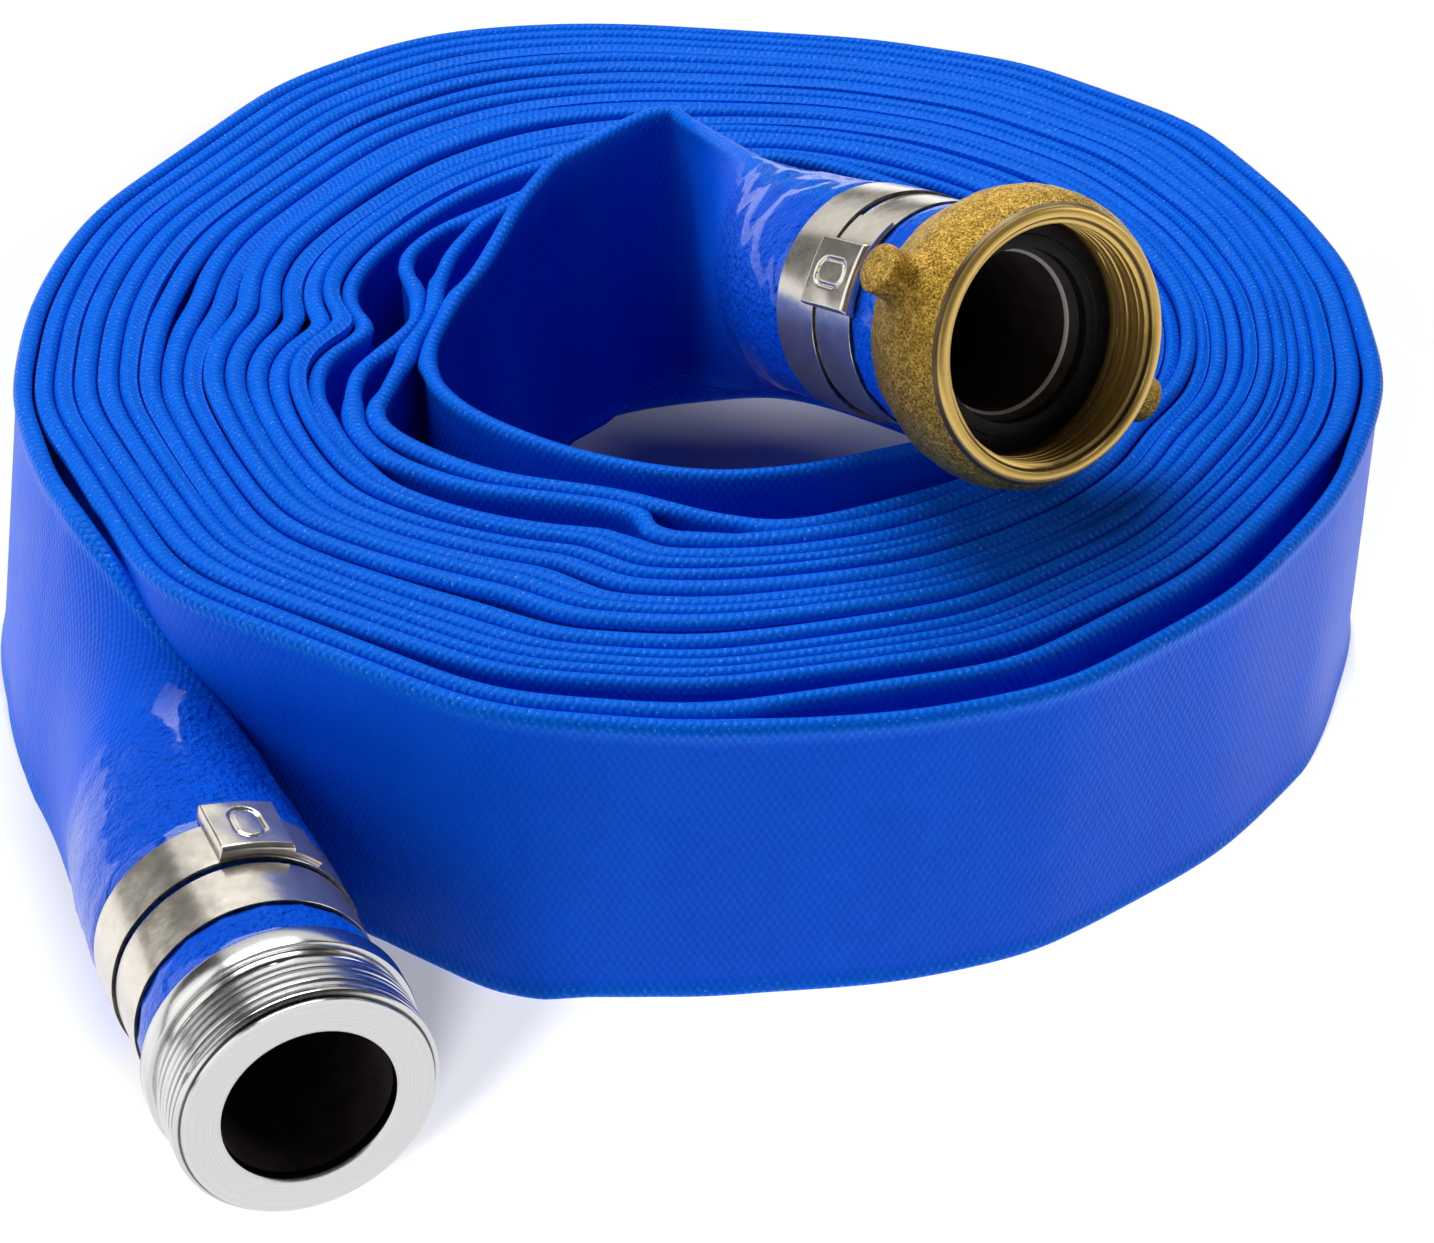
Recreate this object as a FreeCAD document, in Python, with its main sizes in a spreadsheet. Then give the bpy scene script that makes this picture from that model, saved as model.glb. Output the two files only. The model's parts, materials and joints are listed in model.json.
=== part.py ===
"""Rolled lay-flat fire hose with a threaded male shank and a pin-lug swivel coupling.

Frame: millimetres, +Z up. The origin is on the floor, below the middle of the whole
object's box. The roll stands on the folded edge of the flat hose.
Each coupling is modelled along its own local Z axis, with the mouth face at Z = 0 and
the hose side towards -Z, and is then placed by its Placement.
"""
import FreeCAD, Part
import math
import os
import re

import Sketcher
from FreeCAD import Placement, Rotation, Vector

os.makedirs("parts", exist_ok=True)
doc = FreeCAD.newDocument("RolledFireHose")

# ---------------------------------------------------------------- driving dimensions
SIZES = {
    # the hose itself, 2 inch lay-flat
    "flat_width": 84.0,
    "flat_thickness": 3.0,
    "wall": 1.6,
    # the roll
    "roll_centre_x": 0.75,
    "roll_centre_y": 39.8,
    "corner_round": 14.0,
    "peak_lift": 25.0,
    # male shank, 2 inch straight pipe thread for hose
    "male_bore_radius": 19.6,
    "male_thread_radius": 29.95,
    "male_thread_length": 15.0,
    "male_chamfer": 0.9,
    "male_relief_radius": 27.8,
    "male_flange_radius": 31.0,
    "male_flange_front": 17.5,
    "male_flange_back": 24.0,
    "male_tail_end": 71.0,
    # swivel coupling
    "nut_rim_radius": 32.6,
    "nut_bulge_radius": 36.3,
    "nut_bulge_front": 9.0,
    "nut_bulge_back": 16.0,
    "nut_back_radius": 30.2,
    "nut_length": 31.0,
    "nut_edge": 0.9,
    "nut_edge_depth": 1.2,
    "nut_taper": 1.4,
    "nut_shoulder": 6.0,
    "nut_mouth_radius": 29.9,
    "nut_thread_radius": 28.5,
    "nut_thread_start": 1.4,
    "nut_thread_end": 13.0,
    "nut_chamber_radius": 29.3,
    "nut_lip_front": 21.4,
    "nut_lip_radius": 26.3,
    "lug_radius": 6.0,
    "lug_tip_radius": 45.0,
    "lug_station": 15.0,
    "gasket_front": 14.4,
    "gasket_outer_radius": 28.3,
    "gasket_inner_radius": 21.0,
    "tail_flange_front": 17.4,
    "tail_flange_back": 21.3,
    "tail_flange_radius": 28.2,
    "tail_neck_radius": 26.2,
    "tail_neck_end": 31.3,
    "tail_bore_radius": 19.4,
    "swivel_tail_end": 79.0,
    # barbs that the hose is clamped over
    "barb_crest_radius": 26.0,
    "barb_root_radius": 25.2,
    "barb_pitch": 8.0,
    "cuff_inner_radius": 26.05,
    "cuff_gap": 0.2,
    # clamps
    "band_thickness": 0.9,
    "band_width": 15.0,
    "band_gap": 1.2,
    "band_fit": 0.05,
    "rear_band_lift": 0.8,
    "male_band_start": 37.0,
    "swivel_band_start": 43.5,
    "buckle_width": 17.0,
    "buckle_span": 17.0,
    "buckle_height": 3.2,
    "buckle_round": 0.8,
    "dimple_radius": 3.6,
    "dimple_depth": 0.6,
}

sheet = doc.addObject("Spreadsheet::Sheet", "Sizes")
for row, (name, value) in enumerate(SIZES.items(), start=1):
    sheet.set("A%d" % row, name)
    sheet.set("B%d" % row, "%g" % value)
    sheet.setAlias("B%d" % row, name)
doc.recompute()


def size(name):
    """The value of one driving dimension."""
    return float(getattr(sheet, name))


def on_sheet(words):
    """Turn words such as "-(cuff_gap + wall)" into an expression on the size sheet."""
    return re.sub(r"[a-z]\w+", r"Sizes.\g<0>", words)


def value_of(words):
    """Evaluate such words now."""
    found = sheet.evalExpression(on_sheet(words))
    return float(getattr(found, "Value", found))


# ---------------------------------------------------------------- where the pieces lie
# Mouth centre relative to the roll's centre, and the axis pointing out of the mouth.
MALE_MOUTH = Vector(-82.7, -251.5, 32.6)
MALE_AXIS = Vector(0.41, -0.91, 0.0436)
SWIVEL_MOUTH = Vector(83.3, -103.0, 134.0)
SWIVEL_AXIS = Vector(0.52, -0.80, 0.285)
# Angle of the nut's lugs, and of each side's front and rear buckle, about the axis from level.
LUG_ANGLE = -37.0
MALE_BUCKLE_ANGLES = (-35.0, 75.0)
SWIVEL_BUCKLE_ANGLES = (146.0, -30.0)

ROLL_CENTRE = Vector(size("roll_centre_x"), size("roll_centre_y"), 0)


def coupling_frame(mouth, axis):
    """Placement with local Z along the axis and local X level, to the right of it."""
    out = Vector(axis).normalize()
    level = Vector(0, 0, 1).cross(out).normalize()
    return Placement(mouth + ROLL_CENTRE, Rotation(level, out.cross(level), out, "ZXY"))


MALE_FRAME = coupling_frame(MALE_MOUTH, MALE_AXIS)
SWIVEL_FRAME = coupling_frame(SWIVEL_MOUTH, SWIVEL_AXIS)

subparts = []


def finish(item, label, placement):
    """Name a sub-part, place it and keep it for export."""
    item.Label = label
    item.Placement = placement
    subparts.append(item)
    return item


# ---------------------------------------------------------------- turned pieces
def origin_plane(body, role):
    return next(f for f in body.Origin.OriginFeatures if f.Role == role)


def profile(body, corners):
    """Closed sketch in the XZ plane, through corners given as words: (radius, height)."""
    sketch = body.newObject("Sketcher::SketchObject", body.Name + "_profile")
    sketch.AttachmentSupport = [(origin_plane(body, "XZ_Plane"), "")]
    sketch.MapMode = "FlatFace"
    places = [Vector(value_of(r), value_of(h), 0) for r, h in corners]
    count = len(places)
    for i in range(count):
        sketch.addGeometry(Part.LineSegment(places[i], places[(i + 1) % count]), False)
    for i in range(count):
        sketch.addConstraint(Sketcher.Constraint("Coincident", i, 2, (i + 1) % count, 1))
    for i, (radius, height) in enumerate(corners):
        for kind, words, place in (("DistanceX", radius, places[i].x), ("DistanceY", height, places[i].y)):
            index = sketch.addConstraint(Sketcher.Constraint(kind, -1, 1, i, 1, place))
            sketch.setExpression("Constraints[%d]" % index, on_sheet(words))
    return sketch


def revolve(body, corners, feature="PartDesign::Revolution"):
    """Turn a profile a full circle about the body's Z axis, adding or cutting."""
    sketch = profile(body, corners)
    turned = body.newObject(feature, body.Name + "_turned")
    turned.Profile = (sketch, [""])
    turned.ReferenceAxis = (sketch, ["V_Axis"])
    turned.Angle = 360
    sketch.Visibility = False
    doc.recompute()
    return turned


def new_body(name):
    return doc.addObject("PartDesign::Body", name)


def barbs(start, end):
    """Saw-tooth corners from start to end: steep towards the mouth, sloping to the hose end."""
    corners = []
    teeth = int((value_of(end) - value_of(start)) // size("barb_pitch"))
    for tooth in range(teeth):
        corners.append(("barb_crest_radius", "-(%s + %d * barb_pitch)" % (start, tooth)))
        corners.append(("barb_root_radius", "-(%s + %d * barb_pitch)" % (start, tooth + 1)))
    return corners + [("barb_root_radius", "-" + end)]


def male_shank():
    body = new_body("male_shank")
    face = [
        ("male_bore_radius", "-male_tail_end"),
        ("male_bore_radius", "-male_chamfer"),
        ("male_bore_radius + male_chamfer", "0"),
        ("male_thread_radius - male_chamfer", "0"),
        ("male_thread_radius", "-male_chamfer"),
        ("male_thread_radius", "-male_thread_length"),
        ("male_relief_radius", "-male_thread_length - male_chamfer"),
        ("male_relief_radius", "-male_flange_front"),
        ("male_flange_radius", "-male_flange_front"),
        ("male_flange_radius", "-male_flange_back"),
        ("barb_root_radius", "-male_flange_back"),
    ]
    revolve(body, face + barbs("male_flange_back + 2 * cuff_gap", "male_tail_end"))
    return finish(body, "male_shank", MALE_FRAME)


def swivel_tail():
    body = new_body("swivel_tail")
    face = [
        ("tail_bore_radius", "-swivel_tail_end"),
        ("tail_bore_radius", "-tail_flange_front"),
        ("tail_flange_radius", "-tail_flange_front"),
        ("tail_flange_radius", "-tail_flange_back"),
        ("tail_neck_radius", "-tail_flange_back"),
        ("tail_neck_radius", "-tail_neck_end"),
        ("barb_root_radius", "-tail_neck_end"),
    ]
    revolve(body, face + barbs("tail_neck_end + 2 * cuff_gap", "swivel_tail_end"))
    return finish(body, "swivel_tail", SWIVEL_FRAME)


def swivel_nut():
    """Cast ring nut: turned outside, a lug bar through it, then the inside cut away."""
    body = new_body("swivel_nut")
    outside = [
        ("0", "-nut_length"),
        ("0", "0"),
        ("nut_rim_radius", "0"),
        ("nut_rim_radius + nut_edge", "-nut_edge_depth"),
        ("nut_bulge_radius - nut_edge", "-nut_bulge_front / 2"),
        ("nut_bulge_radius", "-nut_bulge_front"),
        ("nut_bulge_radius", "-nut_bulge_back"),
        ("nut_bulge_radius - nut_taper", "-(nut_bulge_back + nut_shoulder)"),
        ("nut_back_radius + nut_taper", "-(nut_length - nut_shoulder / 2)"),
        ("nut_back_radius", "-nut_length"),
    ]
    revolve(body, outside)
    bar = body.newObject("Sketcher::SketchObject", "lug_section")
    bar.AttachmentSupport = [(origin_plane(body, "YZ_Plane"), "")]
    bar.MapMode = "FlatFace"
    station = Vector(0, -size("lug_station"), 0)
    bar.addGeometry(Part.Circle(station, Vector(0, 0, 1), size("lug_radius")), False)
    bar.addConstraint(Sketcher.Constraint("PointOnObject", 0, 3, -2))
    down = bar.addConstraint(Sketcher.Constraint("DistanceY", -1, 1, 0, 3, station.y))
    bar.setExpression("Constraints[%d]" % down, on_sheet("-lug_station"))
    round_bar = bar.addConstraint(Sketcher.Constraint("Radius", 0, size("lug_radius")))
    bar.setExpression("Constraints[%d]" % round_bar, on_sheet("lug_radius"))
    lugs = body.newObject("PartDesign::Pad", "lug_bar")
    lugs.Profile = (bar, [""])
    lugs.Midplane = True
    lugs.setExpression("Length", on_sheet("2 * lug_tip_radius"))
    bar.Visibility = False
    doc.recompute()
    inside = [
        ("0", "-(nut_length + 1)"),
        ("0", "1"),
        ("nut_mouth_radius", "1"),
        ("nut_mouth_radius", "0"),
        ("nut_thread_radius", "-nut_thread_start"),
        ("nut_thread_radius", "-nut_thread_end"),
        ("nut_chamber_radius", "-(nut_thread_end + 0.8)"),
        ("nut_chamber_radius", "-nut_lip_front"),
        ("nut_lip_radius", "-nut_lip_front"),
        ("nut_lip_radius", "-(nut_length + 1)"),
    ]
    solid_volume = body.Shape.Volume
    revolve(body, inside, "PartDesign::Groove")
    if body.Shape.Volume > 0.5 * solid_volume:
        raise ValueError("the inside of the nut was not cut")
    # The lug bar lies along local X, so the nut is turned about its axis to the lugs' angle.
    turn = Placement(Vector(), Rotation(Vector(0, 0, 1), LUG_ANGLE))
    return finish(body, "swivel_nut", SWIVEL_FRAME.multiply(turn))


def ring(label, inner, outer, front, back, placement):
    """Plain turned ring between two stations behind the mouth."""
    body = new_body(label)
    corners = [
        (inner, "-(%s)" % back),
        (inner, "-(%s)" % front),
        (outer, "-(%s)" % front),
        (outer, "-(%s)" % back),
    ]
    revolve(body, corners)
    return finish(body, label, placement)


FRONT_BAND_RADIUS = "cuff_inner_radius + wall + band_fit"
REAR_BAND_RADIUS = FRONT_BAND_RADIUS + " + rear_band_lift"


def cuff(label, front, band_start, back, placement):
    """Round end of the hose over a shank, a little thicker under the rear band."""
    step = "%s + band_width + band_gap / 2" % band_start
    corners = [
        ("cuff_inner_radius", "-%s" % back),
        ("cuff_inner_radius", "-(%s)" % front),
        ("cuff_inner_radius + wall", "-(%s)" % front),
        ("cuff_inner_radius + wall", "-(%s)" % step),
        ("cuff_inner_radius + wall + rear_band_lift", "-(%s)" % step),
        ("cuff_inner_radius + wall + rear_band_lift", "-%s" % back),
    ]
    body = new_body(label)
    revolve(body, corners)
    return finish(body, label, placement)


def buckle(label, band_radius, station, angle, placement):
    """Folded strap buckle on a band: a block curved with the band, rounded, punched once."""
    outer = band_radius + " + band_thickness"
    block = doc.addObject("Part::Box", label + "_block")
    block.setExpression("Length", on_sheet("2 * buckle_height"))
    block.setExpression("Width", on_sheet("buckle_span"))
    block.setExpression("Height", on_sheet("buckle_width"))
    block.setExpression("Placement.Base.x", on_sheet("%s - buckle_height / 2" % outer))
    block.setExpression("Placement.Base.y", on_sheet("-buckle_span / 2"))
    block.setExpression("Placement.Base.z", on_sheet("-buckle_width / 2"))
    rounds = []
    for word, radius in (("crown", outer + " + buckle_height"), ("seat", outer)):
        drum = doc.addObject("Part::Cylinder", label + "_" + word)
        drum.setExpression("Radius", on_sheet(radius))
        drum.setExpression("Height", on_sheet("2 * buckle_width"))
        drum.setExpression("Placement.Base.z", on_sheet("-buckle_width"))
        rounds.append(drum)
    crowned = doc.addObject("Part::Common", label + "_crowned")
    crowned.Base = block
    crowned.Tool = rounds[0]
    seated = doc.addObject("Part::Cut", label + "_seated")
    seated.Base = crowned
    seated.Tool = rounds[1]
    doc.recompute()
    softened = doc.addObject("Part::Fillet", label + "_softened")
    softened.Base = seated
    top = value_of(outer) + 0.5 * size("buckle_height")
    radius = size("buckle_round")
    softened.Edges = [
        (i, radius, radius)
        for i, edge in enumerate(seated.Shape.Edges, start=1)
        if edge.CenterOfMass.x > top
    ]
    punch = doc.addObject("Part::Cylinder", label + "_punch")
    punch.setExpression("Radius", on_sheet("dimple_radius"))
    punch.setExpression("Height", on_sheet("2 * buckle_height"))
    depth = "%s + buckle_height - dimple_depth" % outer
    punch.Placement = Placement(Vector(), Rotation(Vector(0, 1, 0), 90))
    punch.setExpression("Placement.Base.x", on_sheet(depth))
    punched = doc.addObject("Part::Cut", label)
    punched.Base = softened
    punched.Tool = punch
    place = Placement(Vector(0, 0, -value_of(station)), Rotation(Vector(0, 0, 1), angle))
    return finish(punched, label, placement.multiply(place))


def clamps(side, band_start, angles, placement):
    """Two bands side by side, each with its own buckle at its own angle round the hose."""
    front = band_start
    rear = "%s + band_width + band_gap" % band_start
    for word, start, radius, angle in (
        ("front", front, FRONT_BAND_RADIUS, angles[0]),
        ("rear", rear, REAR_BAND_RADIUS, angles[1]),
    ):
        label = "%s_band_%s" % (side, word)
        end = "%s + band_width" % start
        ring(label, radius, radius + " + band_thickness", start, end, placement)
        middle = "%s + band_width / 2" % start
        buckle("%s_buckle_%s" % (side, word), radius, middle, angle, placement)


# ---------------------------------------------------------------- flat hose
# All lists are (x, y) from the roll's centre, along the middle of the flat hose unless
# they outline a solid. The hose runs clockwise, seen from above, from the male end inwards.
OUTER_RUN = [
    (-151.6, -100.6), (-165.0, -75.0), (-177.0, -40.0), (-180.0, 0.0), (-177.5, 30.0),
    (-171.5, 58.0), (-131.0, 138.5), (-101.0, 165.5),
]
# Outside of the wound pack: its last turn ends in a step where the outer run meets it.
STEP_CORNERS = [(-98.0, 168.5), (-96.0, 163.0)]
PACK_OUTSIDE = [
    (0.0, -184.0), (85.0, -168.0), (159.0, -88.0), (180.0, -30.0), (180.0, 40.0), (150.0, 112.0),
    (101.0, 155.0), (52.0, 173.0), (-25.0, 184.0), (-80.0, 179.0), *STEP_CORNERS,
    (-126.0, 136.0), (-166.5, 57.0), (-175.0, 0.0), (-171.5, -42.0),
    (-154.0, -87.0), (-121.0, -128.0), (-91.0, -157.0), (-48.0, -178.0),
]
PACK_INSIDE = [
    (-86.5, 33.0), (-77.0, -2.0), (-92.0, -28.0), (-92.0, -50.0), (-80.0, -70.0),
    (-55.0, -88.0), (-22.0, -94.0), (-4.0, -104.5), (25.0, -104.5), (50.0, -98.0),
    (78.0, -78.0), (98.0, -38.0), (101.0, 10.0), (90.0, 55.0), (56.0, 92.0),
    (12.0, 104.0), (-27.0, 98.0), (-58.0, 76.0),
]
INNER_TURN_1 = [
    (66.0, -83.5), (45.0, -96.0), (20.0, -100.0), (5.0, -97.5), (-20.0, -89.0), (-50.0, -81.0),
    (-70.0, -70.0), (-83.5, -53.0), (-77.0, -22.0), (-73.0, 0.0), (-71.5, 20.0), (-66.0, 42.0),
    (-52.0, 70.0), (-22.0, 92.0), (12.0, 98.0), (50.0, 86.0), (82.0, 52.0), (93.0, 10.0),
]
INNER_TURN_2 = [
    (93.0, 7.5), (90.0, -30.0), (75.0, -55.0), (60.0, -64.0), (45.0, -70.0), (25.0, -77.5),
    (0.0, -79.0), (-30.0, -71.0), (-58.0, -51.0), (-69.5, -28.0),
]
# The last flat stretch climbs to the fold: (x, y, share of the lift).
RISE = [
    (-70.0, -24.0, 0.0), (-68.0, 5.0, 0.12), (-64.0, 28.0, 0.3),
    (-56.5, 49.0, 0.6), (-35.0, 60.5, 0.85), (-14.5, 67.0, 0.98),
]
FOLD = Vector(-10.0, 67.5, 0)
NECK_CORNER_ANGLE = 78.0


def flat_points(outline):
    return [Vector(x, y, 0) for x, y in outline]


def prism(outline, height):
    """Upright solid on a closed outline."""
    points = flat_points(outline)
    face = Part.Face(Part.makePolygon(points + points[:1]))
    return face.extrude(Vector(0, 0, height))


def side_steps(line):
    """For each point of a line, half the hose's thickness to the left of the travel."""
    steps = []
    for i, point in enumerate(line):
        before = line[max(i - 1, 0)]
        after = line[min(i + 1, len(line) - 1)]
        along = (after - before).normalize()
        steps.append(Vector(-along.y, along.x, 0) * (size("flat_thickness") / 2))
    return steps


def strip(line):
    """Flat hose standing on its edge along a line."""
    points = flat_points(line)
    steps = side_steps(points)
    left = [p + s for p, s in zip(points, steps)]
    right = [p - s for p, s in zip(points, steps)]
    outline = [(p.x, p.y) for p in left + right[::-1]]
    return prism(outline, size("flat_width"))


def pack():
    """The wound turns as one block with the eye of the roll open."""
    block = prism(PACK_OUTSIDE, size("flat_width"))
    upright = [e for e in block.Edges if abs(e.Vertexes[0].Z - e.Vertexes[1].Z) > 1]
    rounded = [e for e in upright if (e.Vertexes[0].X, e.Vertexes[0].Y) not in STEP_CORNERS]
    block = block.makeFillet(size("corner_round"), rounded)
    return block.cut(prism(PACK_INSIDE, size("flat_width")))


def cross_section(middle, side):
    """Upright rectangle of flat hose about a point: 4 corners, wound one way."""
    up = Vector(0, 0, size("flat_width") / 2)
    return [middle - side - up, middle + side - up, middle + side + up, middle - side + up]


def climb():
    """Flat hose that stays upright while it climbs to the fold."""
    half = size("flat_width") / 2
    lift = size("peak_lift")
    middles = [Vector(x, y, half + share * lift) for x, y, share in RISE]
    level = [Vector(p.x, p.y, 0) for p in middles]
    sections = []
    for middle, side in zip(middles, side_steps(level)):
        corners = cross_section(middle, side)
        sections.append(Part.makePolygon(corners + corners[:1]))
    return Part.makeLoft(sections, True, True)


def neck(flat_middle, side, frame, tail_end):
    """Hose that opens from flat to round where it goes over a shank."""
    corners = cross_section(flat_middle, side)
    flat = Part.makePolygon(corners + corners[:1])
    radius = value_of("cuff_inner_radius + wall + rear_band_lift")
    plane_point = Vector(0, 0, -tail_end)
    steep = NECK_CORNER_ANGLE
    angles = [180 + steep, 360 - steep, steep, 180 - steep]
    if side.dot(frame.Rotation.multVec(Vector(1, 0, 0))) < 0:
        angles = [180 - a for a in angles]
    arcs = []
    for i, start in enumerate(angles):
        stop = angles[(i + 1) % 4]
        sweep = (stop - start + 180) % 360 - 180
        sweep = sweep if abs(sweep) < 179 else 180
        at = []
        for share in (0, 0.5, 1):
            turn = math.radians(start + share * sweep)
            at.append(frame.multVec(plane_point + Vector(math.cos(turn), math.sin(turn), 0) * radius))
        arcs.append(Part.Arc(*at).toShape())
    return Part.makeLoft([flat, Part.Wire(arcs)], True, True)


def hose_feature(label, shape):
    item = doc.addObject("Part::Feature", label)
    item.Shape = shape
    return finish(item, label, Placement(ROLL_CENTRE, Rotation()))


def hose():
    half = size("flat_width") / 2
    clear = size("cuff_gap")
    to_roll = Placement(-ROLL_CENTRE, Rotation())
    hose_feature("hose_roll", pack())
    hose_feature("hose_outer_run", strip(OUTER_RUN))
    hose_feature("hose_inner_turn_1", strip(INNER_TURN_1))
    hose_feature("hose_inner_turn_2", strip(INNER_TURN_2))
    hose_feature("hose_inner_rise", climb())
    start = Vector(OUTER_RUN[0][0], OUTER_RUN[0][1], half)
    after = Vector(OUTER_RUN[1][0], OUTER_RUN[1][1], half)
    along = (after - start).normalize()
    side = Vector(along.y, -along.x, 0) * (size("flat_thickness") / 2)
    frame = to_roll.multiply(MALE_FRAME)
    outer_neck = neck(start - along * clear, side, frame, size("male_tail_end") + clear)
    hose_feature("hose_outer_neck", outer_neck)
    frame = to_roll.multiply(SWIVEL_FRAME)
    tail = frame.multVec(Vector(0, 0, -size("swivel_tail_end")))
    along = Vector(tail.x - FOLD.x, tail.y - FOLD.y, 0).normalize()
    side = Vector(-along.y, along.x, 0) * (size("flat_thickness") / 2)
    middle = FOLD + Vector(0, 0, half + size("peak_lift"))
    inner_neck = neck(middle, side, frame, size("swivel_tail_end") + clear)
    hose_feature("hose_inner_neck", inner_neck)


# ---------------------------------------------------------------- build
male_shank()
cuff("hose_outer_cuff", "male_flange_back + cuff_gap", "male_band_start", "male_tail_end", MALE_FRAME)
clamps("male", "male_band_start", MALE_BUCKLE_ANGLES, MALE_FRAME)
swivel_tail()
swivel_nut()
ring(
    "tail_gasket",
    "gasket_inner_radius", "gasket_outer_radius", "gasket_front", "tail_flange_front", SWIVEL_FRAME,
)
cuff("hose_inner_cuff", "tail_neck_end + cuff_gap", "swivel_band_start", "swivel_tail_end", SWIVEL_FRAME)
clamps("swivel", "swivel_band_start", SWIVEL_BUCKLE_ANGLES, SWIVEL_FRAME)
hose()
doc.recompute()

# ---------------------------------------------------------------- check and write
for item in doc.Objects:
    if "Invalid" in item.State or "Error" in item.State:
        raise ValueError("%s: %s" % (item.Label, item.State))
whole = FreeCAD.BoundBox()
for item in subparts:
    if item.Shape.isNull() or not item.Shape.isValid():
        raise ValueError("%s has no valid shape" % item.Label)
    whole.add(item.Shape.BoundBox)
    item.Shape.exportStep("parts/%s.step" % item.Label)
    print("%-22s %9.0f mm3" % (item.Label, item.Shape.Volume))
print("box", [round(v, 2) for v in (whole.XMin, whole.XMax, whole.YMin, whole.YMax, whole.ZMin, whole.ZMax)])
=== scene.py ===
"""Looks of a rolled lay-flat fire hose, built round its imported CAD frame.

Lengths are millimetres in the row's frame until add_piece() makes metres of them.
Angles round the roll are degrees, anticlockwise seen from above, from +X.
"""

import json
import math

import bpy
import numpy as np
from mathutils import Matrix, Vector


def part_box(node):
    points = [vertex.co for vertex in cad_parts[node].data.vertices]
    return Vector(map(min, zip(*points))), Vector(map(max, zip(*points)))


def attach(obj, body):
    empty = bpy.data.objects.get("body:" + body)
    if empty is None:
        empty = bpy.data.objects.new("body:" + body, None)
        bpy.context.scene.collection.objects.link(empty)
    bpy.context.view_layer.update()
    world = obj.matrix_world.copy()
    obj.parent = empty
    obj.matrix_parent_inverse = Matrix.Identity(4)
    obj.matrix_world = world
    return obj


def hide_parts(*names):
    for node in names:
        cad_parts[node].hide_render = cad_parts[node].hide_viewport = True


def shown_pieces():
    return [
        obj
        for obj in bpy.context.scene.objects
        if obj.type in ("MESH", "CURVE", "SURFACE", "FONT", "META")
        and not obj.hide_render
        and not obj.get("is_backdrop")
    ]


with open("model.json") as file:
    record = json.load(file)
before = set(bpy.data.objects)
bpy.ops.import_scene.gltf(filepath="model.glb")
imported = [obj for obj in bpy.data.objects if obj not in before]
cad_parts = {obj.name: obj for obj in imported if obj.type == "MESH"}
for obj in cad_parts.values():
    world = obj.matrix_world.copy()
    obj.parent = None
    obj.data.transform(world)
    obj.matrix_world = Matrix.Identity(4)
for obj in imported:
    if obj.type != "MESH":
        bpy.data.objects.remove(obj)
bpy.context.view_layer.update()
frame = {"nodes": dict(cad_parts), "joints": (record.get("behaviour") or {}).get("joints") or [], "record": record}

UP = np.array([0.0, 0.0, 1.0])


def in_mm(point):
    return np.array(point[:], float) * 1000


def unit(vector):
    vector = np.array(vector, float)
    return vector / np.linalg.norm(vector, axis=-1, keepdims=True)


def rise(value, start, reach):
    """0 up to the start, then evenly up to 1 over the reach."""
    return np.clip((value - start) / reach, 0, 1)


def smooth_step(x):
    x = np.clip(x, 0, 1)
    return x * x * (3 - 2 * x)


# ---------------- places from the frame
MOUNTS = {m["name"]: m for m in frame["record"]["mounts"]}
# The base mount lies 140 mm in front of the roll's centre.
ROLL_CENTRE = in_mm(MOUNTS["base"]["pos_m"]) + [0, 140, 0]
LOW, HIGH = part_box("hose_outer_run")
HOSE_WIDTH = (HIGH[2] - LOW[2]) * 1000
HALF_WIDTH = HOSE_WIDTH / 2


class Coupling:
    """A coupling's own frame: x level, y up, z out of the mouth, whose face is at z = 0."""

    def __init__(self, mouth, axis, fold_angle):
        self.mouth = mouth
        # Where the hose's upper fold arrives on it.
        self.fold_angle = math.radians(fold_angle)
        self.out = unit(axis)
        self.level = unit(np.cross(UP, self.out))
        self.up = np.cross(self.out, self.level)

    def place(self, x, y, z):
        x, y, z = (np.asarray(v, float)[..., None] for v in (x, y, z))
        return self.mouth + x * self.level + y * self.up + z * self.out

    def polar(self, radius, angle, behind):
        """Points at a radius and an angle (radians), a distance behind the mouth face."""
        return self.place(radius * np.cos(angle), radius * np.sin(angle), -np.asarray(behind, float))


thread_mount = MOUNTS["male_thread"]
THREAD_MIDDLE = 8.0
thread_axis = unit(thread_mount["axis"])
MALE = Coupling(in_mm(thread_mount["pos_m"]) + THREAD_MIDDLE * thread_axis, thread_axis, 30)
spin = next(j for j in frame["joints"] if j["name"] == "swivel_spin")
SWIVEL = Coupling(in_mm(spin["pos_m"]), spin["axis"], 95)
LUG_ANGLE = math.radians(-37)

# ---------------- meshes


def add_piece(name, points, faces, materials, face_material=None, uv=None, sharp=math.radians(40)):
    """A mesh object from points in mm; uv is one pair per face corner."""
    mesh = bpy.data.meshes.new(name)
    mesh.from_pydata((np.asarray(points) / 1000).tolist(), [], [tuple(f) for f in faces])
    if uv is not None:
        layer = mesh.uv_layers.new(name="along_and_round")
        layer.data.foreach_set("uv", np.asarray(uv, np.float32).ravel())
    for material in materials:
        mesh.materials.append(material)
    if face_material is not None:
        mesh.polygons.foreach_set("material_index", np.asarray(face_material, np.int32))
    mesh.polygons.foreach_set("use_smooth", np.ones(len(mesh.polygons), bool))
    mesh.set_sharp_from_angle(angle=sharp)
    mesh.validate()
    mesh.update()
    piece = bpy.data.objects.new(name, mesh)
    bpy.context.collection.objects.link(piece)
    return piece


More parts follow.
